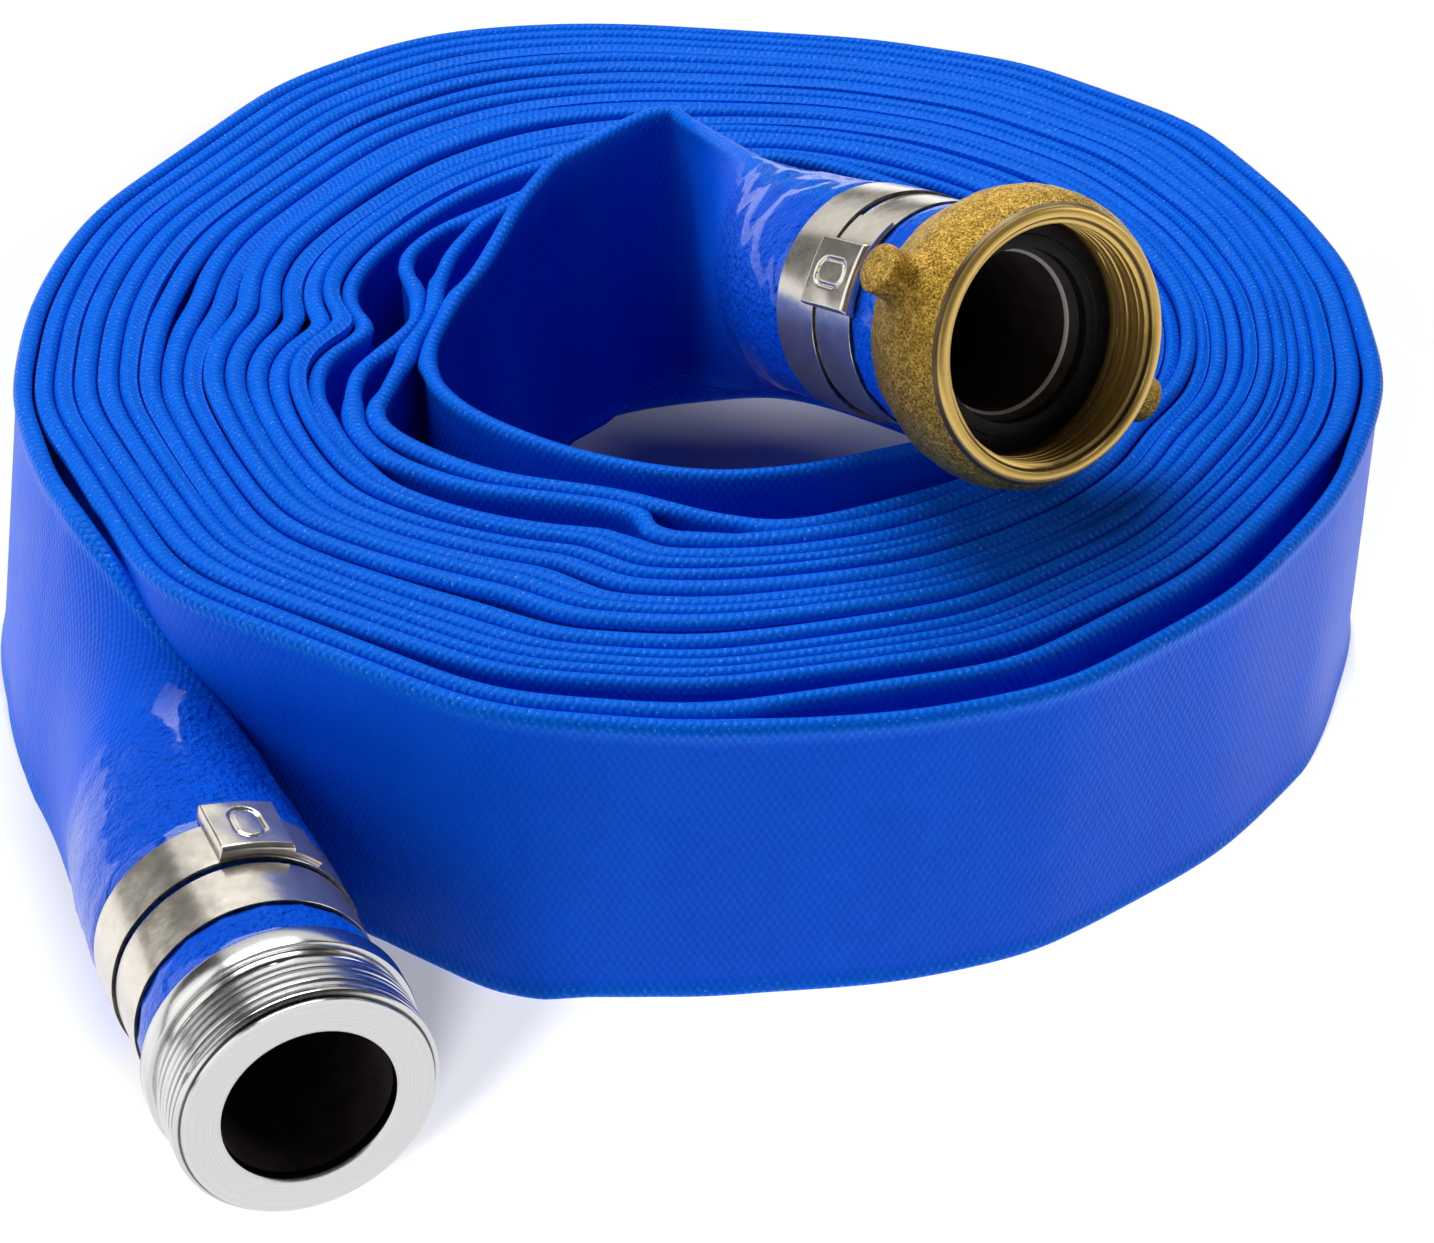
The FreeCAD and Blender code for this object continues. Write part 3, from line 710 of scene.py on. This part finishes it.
def swivel_tail(machined, dark):
    """Tail that the nut turns on, with a countersunk bore."""
    profile = rows_of(1, (TAIL_BORE, 78.6), (TAIL_BORE, 50), (TAIL_BORE, 22.4))
    profile += rows_of(0, (TAIL_BORE, 21.2), (19.55, 20.7)) + rows_of(1, (20.1, 20.2), (20.9, 18.0))
    profile += rows_of(
        0, (21.3, 17.4), (27.9, 17.4), (28.2, 17.7), (28.2, 21.0), (27.9, 21.3), (26.2, 21.3), (26.2, 31.2),
        (25.3, 31.4), (TAIL_RADIUS, 78.6), (24.8, 79),
    ) + rows_of(1, (20.3, 79))
    return turned("swivel_tail_tube", SWIVEL, profile, [machined, dark], 128)


def gasket(rubber):
    """Flat washer with a raised sealing ring."""
    profile = rows_of(
        0, (21.0, 17.38), (21.0, 15.2), (21.15, 14.7), (21.6, 14.42), (23.6, 14.4), (23.9, 14.15),
        (24.3, 14.15), (24.6, 14.4), (27.6, 14.4), (28.1, 14.6), (28.3, 15.0), (28.3, 17.38),
    )
    return turned("face_gasket", SWIVEL, profile, [rubber], 128)


# Outside of the nut behind its machined rim: (radius, behind).
NUT_OUTSIDE = [
    (33.5, 1.9), (34.3, 3.2), (35.3, 5.2), (36.0, 7.6), (36.35, 10.5), (36.4, 13.5), (36.1, 16.5),
    (35.4, 19.5), (34.3, 22.4), (33.0, 25.2), (31.9, 27.8), (31.3, 29.6), (30.9, 30.6), (30.2, 31.0),
]
CAST_STEP = 0.75


def cast_lumps(points, size, amount, seed):
    """Even, shallow lumps of a sand-cast skin: many waves in random directions."""
    random = np.random.default_rng(seed)
    total = np.zeros(points.shape[:-1])
    for _ in range(36):
        wave = unit(random.normal(size=3)) * 2 * np.pi / (size * random.uniform(0.7, 1.8))
        total += np.sin(points @ wave + random.uniform(0, 2 * np.pi))
    return amount * total / 6


def nut_outside_radius(behind):
    radii, stations = np.array(NUT_OUTSIDE).T
    return np.interp(behind, stations, radii)


def nut_body(cast, machined):
    """Ring nut: cast outside, turned rim, internal thread and back lip."""
    rough = 0
    outline = curve_through([(r, s, 0) for r, s in NUT_OUTSIDE], CAST_STEP)
    thread = [(NUT_ROOT, s) for s in thread_rows(*NUT_THREAD)[::-1]]
    profile = rows_of(
        1, (30.0, 0.5), (30.25, 0.12), (30.6, 0), (31.6, 0), (32.3, 0.1), (32.7, 0.4), (33.2, 1.2),
    ) + rows_of(rough, *[(r, s) for r, s, _ in outline]) + rows_of(
        1, (27.2, 31.0), (26.5, 30.8), (26.3, 30.3), (26.3, 21.7), (26.6, 21.4), (29.3, 21.4), (29.3, 14.6),
        (29.5, 14.2), *thread,
    )

    def shape(radius, behind, angle, slot):
        inside = (behind > NUT_THREAD[0]) & (behind < NUT_THREAD[1]) & (abs(radius - NUT_ROOT) < 0.05)
        behind = np.where(inside, with_helix(angle, behind, *NUT_THREAD, NUT_SEAM), behind)
        depth = thread_depth(angle, behind, *NUT_THREAD) * (NUT_CREST - NUT_ROOT)
        points = SWIVEL.polar(radius, angle, behind)
        lumps = cast_lumps(points, 1.9, 0.055, 3) + cast_lumps(points, 7.0, 0.1, 4)
        fade = smooth_step((behind - 2.0) / 1.5)
        return radius + np.where(inside, depth, 0) + np.where(slot == rough, lumps * fade, 0), behind

    return turned("swivel_nut_casting", SWIVEL, profile, [cast, machined], 288, shape)


# Rings of a lug: (distance from its axis, height above the nut's outside).
LUG_ROOT = [
    (9.2, -2.4), (9.2, -0.5), (8.5, 0.0), (7.8, 0.3), (7.1, 0.7), (6.6, 1.3), (6.25, 2.2), (6.1, 3.4),
]
# Rings of its pin: (distance from its axis, height above the coupling's axis).
LUG_PIN = [(6.05, 41.4), (6.1, 43.2), (6.05, 44.3), (5.9, 44.7), (5.5, 44.85), (3.6, 44.9), (1.8, 44.9)]
LUG_STATION = 15.0


def lug(name, angle, cast):
    """Round cast pin that flares into the nut's outside."""
    segments = 48
    turn = np.linspace(0, 2 * np.pi, segments, endpoint=False)
    rings = []
    for i, (reach, height) in enumerate(LUG_ROOT + LUG_PIN):
        sideways, behind = reach * np.cos(turn), LUG_STATION - reach * np.sin(turn)
        if i < len(LUG_ROOT):
            up = np.sqrt(nut_outside_radius(behind) ** 2 - sideways ** 2) + height
        else:
            up = np.full(segments, height)
        rings.append(SWIVEL.polar(np.hypot(up, sideways), angle + np.arctan2(sideways, up), behind))
    points = np.array(rings)
    points += cast_lumps(points, 1.9, 0.07, 3)[..., None] * unit(points - points.mean(1, keepdims=True))
    return add_piece(name, *capped_tube(points), [cast])


# ---------------- clamps
BAND_THICKNESS = 0.9
BAND_WIDTH = 15.0
BAND_GAP = 1.2
# Inside of the front and of the rear strap.
BAND_RADII = (27.7, 28.5)
# Degrees over which a strap's slack fades out.
SLACK_REACH = 24.0


def band(name, coupling, radius, start, end, steel, slack=0.0, slack_angles=()):
    """Strap round the hose; its front edge stands back by the slack at some angles."""
    outer, soft = radius + BAND_THICKNESS, 0.1
    # Slot 1, the edges and the inside, takes the strap's dark edge material, which is painted shade.
    profile = rows_of(1, (radius, start + soft), (radius + soft, start)) + rows_of(
        0, (outer - soft, start), (outer, start + soft), (outer + 0.03, start + 2.5),
        (outer + 0.05, (start + end) / 2), (outer + 0.03, end - 2.5), (outer, end - soft),
    ) + rows_of(1, (outer - soft, end), (radius + soft, end), (radius, end - soft))

    def shape(radius, behind, angle, slot):
        front_part = 1 - rise(behind, start, end - start)
        for degrees in slack_angles:
            off = off_by(np.degrees(angle), degrees)
            behind = behind + front_part * slack * np.exp(-(off / SLACK_REACH) ** 2)
        wavy = 0.05 * np.sin(3 * angle + start) + 0.03 * np.sin(7 * angle + 2)
        return radius + wavy, behind

    return turned(name, coupling, profile, steel, 180, shape, sharp=math.radians(40))


def block_mesh(top, bottom):
    """Closed solid between two grids of points of one size."""
    rows, columns = top.shape[:2]
    index = np.arange(rows * columns).reshape(rows, columns)
    quads = np.stack([index[:-1, :-1], index[1:, :-1], index[1:, 1:], index[:-1, 1:]], -1).reshape(-1, 4)
    edge = np.concatenate([index[0, :-1], index[:-1, -1], index[-1, :0:-1], index[:0:-1, 0]])
    following = np.roll(edge, -1)
    count = rows * columns
    skirt = np.stack([edge, following, following + count, edge + count], -1)
    faces = quads.tolist() + (quads[:, ::-1] + count).tolist() + skirt.tolist()
    return np.concatenate([top.reshape(-1, 3), bottom.reshape(-1, 3)]), faces


def fine_ends(half, inner_step, edge_step, edge):
    """Places from -half to half, closer together within an edge's width of both ends."""
    middle = np.linspace(-half + edge, half - edge, int(2 * (half - edge) / inner_step))
    side = np.linspace(half - edge, half, int(edge / edge_step))[1:]
    return np.concatenate([-side[::-1], middle, side])


BUCKLE_SPAN, BUCKLE_WIDTH, BUCKLE_HEIGHT = 17.4, 19.2, 3.2
DIMPLE_HALF_SPAN, DIMPLE_HALF_WIDTH, DIMPLE_CORNER = 3.3, 5.5, 3.0
# Radius of the ears' rolled edges, and how far the buckle is let into the strap.
EAR_ROLL, SUNK = 1.5, 0.03


def buckle(name, coupling, outer, station, angle, steel):
    """Folded buckle: its ears are rolled over both edges of the strap and pressed once."""
    span = fine_ends(BUCKLE_SPAN / 2, 0.3, 0.12, 0.7)
    width = fine_ends(BUCKLE_WIDTH / 2, 0.3, 0.14, 1.7)
    a, b = np.meshgrid(span, width, indexing="ij")
    into_edge = rise(np.abs(b), BUCKLE_WIDTH / 2 - EAR_ROLL, EAR_ROLL)
    rolled = EAR_ROLL * (1 - np.sqrt(1 - np.minimum(into_edge, 0.999) ** 2))
    into_end = rise(np.abs(a), BUCKLE_SPAN / 2 - 0.5, 0.5)
    softened = 0.35 * into_end ** 2
    corner_a = np.maximum(np.abs(a) - (DIMPLE_HALF_SPAN - DIMPLE_CORNER), 0)
    corner_b = np.maximum(np.abs(b) - (DIMPLE_HALF_WIDTH - DIMPLE_CORNER), 0)
    from_outline = np.hypot(corner_a, corner_b) - DIMPLE_CORNER
    pressed = 0.5 * np.exp(-(from_outline / 0.42) ** 2) + 0.16 * smooth_step(0.5 - from_outline / 0.8)
    crown = 0.5 * a ** 2 / (2 * outer)
    dent = 0.1 * np.sin(a * 0.5 + 1) * np.sin(b * 0.4)
    height = outer + BUCKLE_HEIGHT - crown - rolled - softened - pressed + dent * (1 - into_edge)
    seat = np.sqrt(outer ** 2 - a ** 2) - SUNK
    tuck = 0.5 * into_edge ** 2 * np.sign(b)
    top = coupling.polar(np.hypot(height, a), angle + np.arctan2(a, height), station + b)
    bottom = coupling.polar(np.hypot(seat, a), angle + np.arctan2(a, seat), station + b - tuck)
    points, faces = block_mesh(top, bottom)
    return add_piece(name, points, faces, steel[:1], sharp=math.radians(50))


def strap_end(name, coupling, outer, station, angle, steel):
    """End of the strap's second layer, which lies on the band beyond the buckle."""
    reach = np.radians(np.linspace(-34, 8, 44))
    width = np.linspace(-6.9, 6.9, 9)
    a, b = np.meshgrid(reach, width, indexing="ij")
    lift = 0.62 + 0.35 * smooth_step((a + np.radians(10)) / np.radians(8))
    top = coupling.polar(outer + lift, angle + a, station + b)
    bottom = coupling.polar(outer + 0.03 + 0 * a, angle + a, station + b)
    points, faces = block_mesh(top, bottom)
    return add_piece(name, points, faces, steel[:1])


def clamp_pair(side, coupling, start, angles, steel, buckle_back=0.0, closer=0.0, slack_angles=()):
    """Two clamps side by side; returns their pieces with the CAD nodes they stand for.

    buckle_back moves the rear buckle back. closer widens the rear strap towards the front one,
    apart from at the slack angles.
    """
    made = []
    starts = (start, start + BAND_WIDTH + BAND_GAP)
    for word, first, radius, degrees in zip(("front", "rear"), starts, BAND_RADII, angles):
        reach, loose = (closer, slack_angles) if word == "rear" else (0, ())
        edges = first - reach, first + BAND_WIDTH
        strap = band("%s_strap_%s" % (side, word), coupling, radius, *edges, steel, reach, loose)
        outer = radius + BAND_THICKNESS + 0.05
        middle = first + BAND_WIDTH / 2 + (buckle_back if word == "rear" else 0)
        angle = math.radians(degrees)
        fold = buckle("%s_fold_%s" % (side, word), coupling, outer, middle, angle, steel)
        tail = strap_end("%s_strap_end_%s" % (side, word), coupling, outer, middle, angle, steel)
        made += [(strap, "%s_band_%s" % (side, word)), (fold, "%s_buckle_%s" % (side, word)), (tail, None)]
    return made


# ---------------- materials
class Nodes:
    """Small helper that adds nodes to one material and joins them."""

    def __init__(self, name):
        self.material = bpy.data.materials.new(name)
        self.material.use_nodes = True
        self.tree = self.material.node_tree
        self.surface = self.tree.nodes["Principled BSDF"]
        # The shaded point's place on the object.
        self.where = self.add("TexCoord").outputs["Object"]

    def add(self, kind, settings=None, **inputs):
        node = self.tree.nodes.new("ShaderNode" + kind)
        for key, value in (settings or {}).items():
            setattr(node, key, value)
        for key, value in inputs.items():
            name = key.replace("_", " ")
            self.join(value, node.inputs[int(name[1:])] if name[1:].isdigit() else node.inputs[name])
        return node

    def join(self, value, socket):
        if isinstance(value, bpy.types.NodeSocket):
            self.tree.links.new(value, socket)
        else:
            socket.default_value = value

    def maths(self, operation, *values):
        node = self.tree.nodes.new("ShaderNodeMath")
        node.operation = operation
        for socket, value in zip(node.inputs, values):
            self.join(value, socket)
        return node.outputs[0]

    def plus(self, a, b):
        return self.maths("ADD", a, b)

    def minus(self, a, b):
        return self.maths("SUBTRACT", a, b)

    def times(self, a, b):
        return self.maths("MULTIPLY", a, b)

    def ramp(self, value, *stops):
        node = self.tree.nodes.new("ShaderNodeValToRGB")
        elements = node.color_ramp.elements
        while len(elements) < len(stops):
            elements.new(0.5)
        for element, (position, tone) in zip(elements, stops):
            element.position = position
            element.color = (*tone[:3], 1)
        self.join(value, node.inputs[0])
        return node.outputs["Color"]

    def steps(self, value, low, high, to_low=0.0, to_high=1.0):
        """Smooth change from to_low to to_high as the value goes from low to high."""
        node = self.add("MapRange", {"interpolation_type": "SMOOTHSTEP"})
        for socket, given in zip(node.inputs, (value, low, high, to_low, to_high)):
            self.join(given, socket)
        return node.outputs[0]

    def noise(self, scale, detail=3.0, roughness=0.5, where=None):
        place = self.where if where is None else where
        node = self.add("TexNoise", Vector=place, Scale=scale, Detail=detail, Roughness=roughness)
        return node.outputs["Fac"]

    def mix(self, share, a, b, blend="MIX"):
        """Colour between a and b."""
        node = self.tree.nodes.new("ShaderNodeMix")
        node.data_type = "RGBA"
        node.blend_type = blend
        for socket, value in zip((node.inputs[0], node.inputs[6], node.inputs[7]), (share, a, b)):
            self.join(value, socket)
        return node.outputs[2]

    def bump(self, height, distance, strength=1.0, below=None):
        node = self.add("Bump", Height=height, Distance=distance, Strength=strength)
        if below is not None:
            self.join(below, node.inputs["Normal"])
        return node.outputs["Normal"]

    def finish(self, **inputs):
        for key, value in inputs.items():
            self.join(value, self.surface.inputs[key.replace("_", " ")])
        return self.material


def colour(red, green, blue):
    """Linear colour with alpha from sRGB numbers 0 to 255."""
    def linear(c):
        c = c / 255
        return c / 12.92 if c <= 0.04045 else ((c + 0.055) / 1.055) ** 2.4
    return (linear(red), linear(green), linear(blue), 1)


# Repeats of the woven jacket along and round the hose, and of its cross ribs, in metres.
WEAVE_ALONG, WEAVE_ROUND, RIBS = 0.0021, 0.0038, 0.00128


def phase(n, along, repeat, wander):
    """Phase of a pattern that repeats along a length, and wanders a little."""
    return n.plus(n.times(along, 2 * math.pi / repeat), wander)


def hose_normal(n, weave, ribs, fine, near_fold, crinkle):
    """Woven relief of the cover, with wrinkles and pebbles where it is crinkled."""
    weave_height = n.times(weave, n.steps(near_fold, 0, 1, 0.5, 0.85))
    rib_height = n.times(ribs, n.steps(near_fold, 0, 1, 0.12, 0.16))
    height = n.times(n.plus(weave_height, rib_height), n.steps(crinkle, 0, 1, 1.0, 0.35))
    normal = n.bump(n.plus(height, n.times(fine, 0.5)), 0.00011)
    wrinkled = n.times(n.noise(130.0, 4.0, 0.6), n.steps(crinkle, 0.1, 0.9, 0.1, 1.0))
    normal = n.bump(wrinkled, 0.0022, below=normal)
    pebbled = n.times(n.noise(620.0, 2.0, 0.5), n.steps(crinkle, 0.1, 0.8))
    return n.bump(pebbled, 0.0016, below=normal)


def hose_tone(n, weave, fine, coarse, near_fold):
    """Blue of the cover: uneven, lighter on the folds as a painted sheen, with pale specks there as painted
    glints.
    """
    shade = n.times(n.minus(coarse, 0.5), 0.35)
    shade = n.plus(shade, n.times(n.minus(fine, 0.5), 0.25))
    shade = n.plus(shade, n.times(weave, 0.08))
    body = n.ramp(n.plus(shade, 0.5), (0.2, (0.0006, 0.071, 0.65)), (0.8, (0.001, 0.119, 0.9)))
    # Painted sheen: the folds are lighter and greener, as if they catch the light.
    body = n.mix(near_fold, body, n.mix(1.0, body, (1.0, 1.4, 1.04, 1.0), "MULTIPLY"))
    # Pale specks on the folds are painted glints on the weave.
    glint_noise = n.plus(n.noise(1500.0, 2.0, 0.7), n.times(weave, 0.05))
    specks = n.times(n.steps(glint_noise, 0.64, 0.72), n.times(near_fold, 0.65))
    return n.mix(specks, body, colour(120, 180, 250))


def hose_material():
    """Extruded blue cover that shows the woven jacket under it."""
    n = Nodes("hose_cover")
    split = n.add("SeparateXYZ", Vector=n.add("UVMap", {"uv_map": "along_and_round"}).outputs[0])
    along_hose, around_hose = split.outputs[0], split.outputs[1]
    crinkle = n.add("Attribute", {"attribute_name": "crinkle"}).outputs["Fac"]
    perimeter = PERIMETER / 1000
    from_top = n.maths("PINGPONG", around_hose, perimeter / 2)
    from_fold = n.maths("PINGPONG", around_hose, perimeter / 4)
    near_fold = n.steps(from_fold, 0.0075, 0.0035)

    wander = n.times(n.minus(n.noise(90.0, 2.0), 0.5), 0.9)
    u = phase(n, along_hose, WEAVE_ALONG, wander)
    v = phase(n, from_top, WEAVE_ROUND, wander)
    weave = n.times(n.maths("COSINE", u), n.maths("COSINE", v))
    weave = n.plus(weave, n.times(n.maths("COSINE", n.plus(u, v)), 0.25))
    ribs = n.maths("COSINE", phase(n, along_hose, RIBS, wander))
    fine = n.noise(900.0, 3.0, 0.6)
    coarse = n.noise(60.0, 3.0)
    return n.finish(
        Base_Color=hose_tone(n, weave, fine, coarse, near_fold),
        Normal=hose_normal(n, weave, ribs, fine, near_fold, crinkle),
        Roughness=n.plus(n.times(coarse, 0.14), 0.36), Specular_IOR_Level=0.17,
        Specular_Tint=(0.03, 0.34, 1.0, 1.0), Coat_Roughness=0.07,
        Coat_Weight=n.steps(crinkle, 0.15, 0.8, 0.0, 0.55),
    )


def cast_brass():
    """Sand-cast brass: dull golden grain with dark pits."""
    n = Nodes("cast_brass")
    grain = n.noise(1700.0, 3.0, 0.65)
    blotch = n.noise(420.0, 3.0, 0.55)
    mixed = n.plus(n.times(grain, 0.72), n.times(blotch, 0.28))
    tone = n.ramp(
        mixed, (0.34, colour(88, 66, 20)), (0.46, colour(148, 115, 42)), (0.54, colour(190, 153, 62)),
        (0.70, colour(240, 208, 112)),
    )
    rough = n.plus(n.times(grain, 0.2), 0.34)
    return n.finish(Base_Color=tone, Metallic=0.92, Roughness=rough, Normal=n.bump(mixed, 0.0008))


def turned_marks(n, coupling, spacing):
    """Height of a lathe's fine rings about a coupling's axis; also the radius and the depth."""
    mouth = tuple(coupling.mouth / 1000)
    out = tuple(coupling.out)
    offset = n.add("VectorMath", {"operation": "SUBTRACT"}, a0=n.where, a1=mouth).outputs[0]
    depth = n.add("VectorMath", {"operation": "DOT_PRODUCT"}, a0=offset, a1=out).outputs["Value"]
    full = n.add("VectorMath", {"operation": "LENGTH"}, a0=offset).outputs["Value"]
    radius = n.maths("SQRT", n.minus(n.times(full, full), n.times(depth, depth)))
    place = n.add("CombineXYZ", X=n.times(radius, 1 / spacing), Y=n.times(depth, 1 / spacing))
    return n.noise(1.0, 2.0, 0.6, place.outputs[0]), radius, depth


def machined_metal(name, coupling, low, high, rough, groove_radii=None, metallic=1.0):
    """Lathe-turned metal; painted shade darkens the thread grooves from the first to the second radius given."""
    n = Nodes(name)
    marks, radius, depth = turned_marks(n, coupling, 0.0004)
    smear = n.noise(700.0, 3.0, 0.6)
    shade = n.plus(n.times(marks, 0.8), n.times(smear, 0.2))
    tone = n.ramp(shade, (0.25, low), (0.7, high))
    if groove_radii:
        # Painted shade in the grooves of the thread, between the given radii on the threaded length.
        painted_groove_shade = n.steps(radius, *[r / 1000 for r in groove_radii])
        on_thread = n.times(n.steps(depth, -0.0004, -0.0009), n.steps(depth, -0.0153, -0.0148))
        share = n.times(n.times(painted_groove_shade, on_thread), 0.9)
        tone = n.mix(share, tone, (0.03, 0.027, 0.024, 1))
    roughness = n.plus(n.times(smear, 0.1), rough)
    return n.finish(
        Base_Color=tone, Metallic=metallic, Roughness=roughness, Normal=n.bump(marks, 0.000008, 0.6),
    )


def dark_bore():
    """Oxidised and shaded inside of the waterway."""
    n = Nodes("waterway")
    tone = n.ramp(n.noise(160.0, 3.0), (0.35, (0.04, 0.03, 0.029)), (0.7, (0.07, 0.053, 0.05)))
    return n.finish(Base_Color=tone, Roughness=0.6, Specular_IOR_Level=0.3)


def rubber():
    """Dusty black washer."""
    n = Nodes("black_rubber")
    dust = n.noise(420.0, 4.0, 0.6)
    tone = n.ramp(dust, (0.35, (0.004, 0.004, 0.005)), (0.75, (0.014, 0.014, 0.016)))
    return n.finish(Base_Color=tone, Roughness=0.55, Specular_IOR_Level=0.2, Normal=n.bump(dust, 0.0002))


def clamp_steel():
    """Soft stainless strap, lightly scuffed."""
    n = Nodes("strap_steel")
    scuff = n.noise(260.0, 4.0, 0.65)
    broad = n.noise(45.0, 2.0, 0.5)
    tone = n.ramp(scuff, (0.3, (0.6, 0.555, 0.485)), (0.7, (0.74, 0.69, 0.6)))
    rough = n.plus(n.times(scuff, 0.12), 0.16)
    normal = n.bump(broad, 0.0004, below=n.bump(scuff, 0.00004))
    return n.finish(Base_Color=tone, Metallic=0.86, Roughness=rough, Normal=normal)


def painted_shade_edge():
    """Dull grey edge and inside of the strap, darkened as painted shade of the seam between the straps."""
    n = Nodes("strap_edge_painted_shade")
    tone = n.ramp(n.noise(500.0, 3.0), (0.35, (0.05, 0.047, 0.043)), (0.7, (0.16, 0.15, 0.14)))
    return n.finish(Base_Color=tone, Metallic=1.0, Roughness=0.45)


def pale_floor():
    """Plain matt studio floor."""
    n = Nodes("floor")
    tone = n.ramp(n.noise(6.0, 2.0), (0.3, (0.67, 0.67, 0.67)), (0.7, (0.7, 0.7, 0.7)))
    return n.finish(Base_Color=tone, Roughness=0.9, Specular_IOR_Level=0.1)


# ---------------- building
HOSE_NODES = [name for name in frame["nodes"] if name.startswith("hose_")]

cover = hose_material()
# The second steel is painted shade for the straps' edges and insides.
steel = [clamp_steel(), painted_shade_edge()]
black = dark_bore()
hose = build_hose(cover)
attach(hose, "root")
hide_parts(*HOSE_NODES)


def place(piece, body, slot, node=None):
    """Hang a piece on its body and hide the CAD node that it stands for; the material slot is not used."""
    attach(piece, body)
    if node:
        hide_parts(node)


# groove_radii puts painted shade in the roots of the male thread.
aluminium = machined_metal(
    "turned_aluminium", MALE, (0.54, 0.54, 0.53), (0.68, 0.68, 0.67), 0.17, groove_radii=(29.1, 28.7),
)
place(male_shank(aluminium, black), "root", "shank_aluminium", "male_shank")
tail_metal = machined_metal("turned_tail", SWIVEL, (0.75,) * 3, (0.95,) * 3, 0.3, metallic=0.5)
place(swivel_tail(tail_metal, black), "root", "shank_aluminium", "swivel_tail")
place(gasket(rubber()), "root", "gasket_rubber", "tail_gasket")

brass = cast_brass()
# groove_radii puts painted shade in the roots of the nut's thread.
rim = machined_metal(
    "turned_brass", SWIVEL, (0.56, 0.36, 0.08), (0.8, 0.54, 0.16), 0.26, groove_radii=(29.25, 29.7),
    metallic=0.66,
)
place(nut_body(brass, rim), "swivel_nut", "nut_brass", "swivel_nut")
for word, lug_angle in (("right", LUG_ANGLE), ("left", LUG_ANGLE + math.pi)):
    place(lug("swivel_lug_" + word, lug_angle, brass), "swivel_nut", "nut_brass")

# Angles of each coupling's front and rear buckle.
MALE_BUCKLES = (-35, 75)
SWIVEL_BUCKLES = (146, -30)
clamps = clamp_pair("male", MALE, 37.0, MALE_BUCKLES, steel, buckle_back=1.8)
clamps += clamp_pair("swivel", SWIVEL, 43.5, SWIVEL_BUCKLES, steel, closer=1.05, slack_angles=(105, 225))
for piece, node in clamps:
    place(piece, "root", "clamp_steel", node)

# ---------------- floor, light and camera
bpy.ops.mesh.primitive_plane_add(size=14, location=(0, 1.5, 0))
floor = bpy.context.object
floor.name = "floor"
floor.data.materials.append(pale_floor())
floor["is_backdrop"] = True


def lit_group(name, pieces):
    """Collection of the things that a light shines on."""
    group = bpy.data.collections.new(name)
    for piece in pieces:
        group.objects.link(piece)
    return group


OBJECT_GROUP = lit_group("lit_object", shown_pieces())
metal = [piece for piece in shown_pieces() if piece != hose]
METAL_GROUP = lit_group("lit_metal", metal)
BRASS_GROUP = lit_group("lit_brass", [p for p in metal if p.name.startswith(("swivel_nut", "swivel_lug"))])
FLOOR_GROUP = lit_group("lit_floor", [floor])


def add_light(name, data, from_m, to_m, power, group):
    """Soft studio light that shines on one group of things."""
    data.energy = power
    light = bpy.data.objects.new(name, data)
    light.location = from_m
    light.rotation_euler = (Vector(to_m) - Vector(from_m)).to_track_quat("-Z", "Y").to_euler()
    light.light_linking.receiver_collection = group
    bpy.context.collection.objects.link(light)


ROLL_MIDDLE, ROLL_FRONT = (0, 0, 0.08), (0, -0.1, 0.06)
# Name, place, aim, power, group and size of each lamp.
LAMPS = [
    ("overhead", (-0.35, 0.75, 1.7), ROLL_MIDDLE, 34, OBJECT_GROUP, (1.5, 1.0)),
    ("front_fill", (-0.9, -2.0, 0.75), ROLL_FRONT, 2.5, OBJECT_GROUP, (1.6, 0.7)),
    ("left_fill", (-1.7, -0.2, 0.95), ROLL_MIDDLE, 14, OBJECT_GROUP, (2.0, 1.5)),
    ("brass_back", (0.3, 1.3, 1.3), ROLL_MIDDLE, 9, BRASS_GROUP, (1.8, 1.0)),
    ("metal_back", (-0.1, 1.6, 1.0), ROLL_MIDDLE, 7, METAL_GROUP, (2.6, 1.0)),
    ("right_fill", (1.7, 0.1, 0.7), ROLL_MIDDLE, 5, OBJECT_GROUP, (1.0, 0.7)),
]
for name, lamp_at, aim, power, group, size in LAMPS:
    lamp = bpy.data.lights.new(name, "AREA")
    lamp.shape = "RECTANGLE"
    lamp.size, lamp.size_y = size
    add_light(name, lamp, lamp_at, aim, power, group)

# Direction round the object, elevation, strength and softness of the suns that whiten the floor.
FLOOR_SUNS = [(-115, 24, 4.0, 14), (-90, 24, 4.0, 14), (-65, 24, 4.0, 14), (90, 17, 3.9, 8)]
for azimuth, elevation, strength, softness in FLOOR_SUNS:
    turn, up = math.radians(azimuth), math.radians(elevation)
    sun = bpy.data.lights.new("floor_sun_%d" % azimuth, "SUN")
    sun.angle = math.radians(softness)
    sun_at = (math.cos(turn) * math.cos(up), math.sin(turn) * math.cos(up), math.sin(up))
    add_light(sun.name, sun, sun_at, (0, 0, 0), strength, FLOOR_GROUP)

world = bpy.data.worlds.new("studio")
world.use_nodes = True
sky = world.node_tree.nodes["Background"]
sky.inputs["Color"].default_value = (1, 0.97, 0.93, 1)
sky.inputs["Strength"].default_value = 0.03
bpy.context.scene.world = world
bpy.context.scene.view_settings.view_transform = "Standard"

camera_data = bpy.data.cameras.new("camera")
camera_data.lens = 78.52
camera_data.sensor_width = 36
camera_data.clip_end = 50
camera = bpy.data.objects.new("camera", camera_data)
camera.location = (0.00521, -0.6969, 0.5075)
camera.rotation_euler = Vector((0, 0.8136, -0.5814)).to_track_quat("-Z", "Y").to_euler()
bpy.context.collection.objects.link(camera)
bpy.context.scene.camera = camera
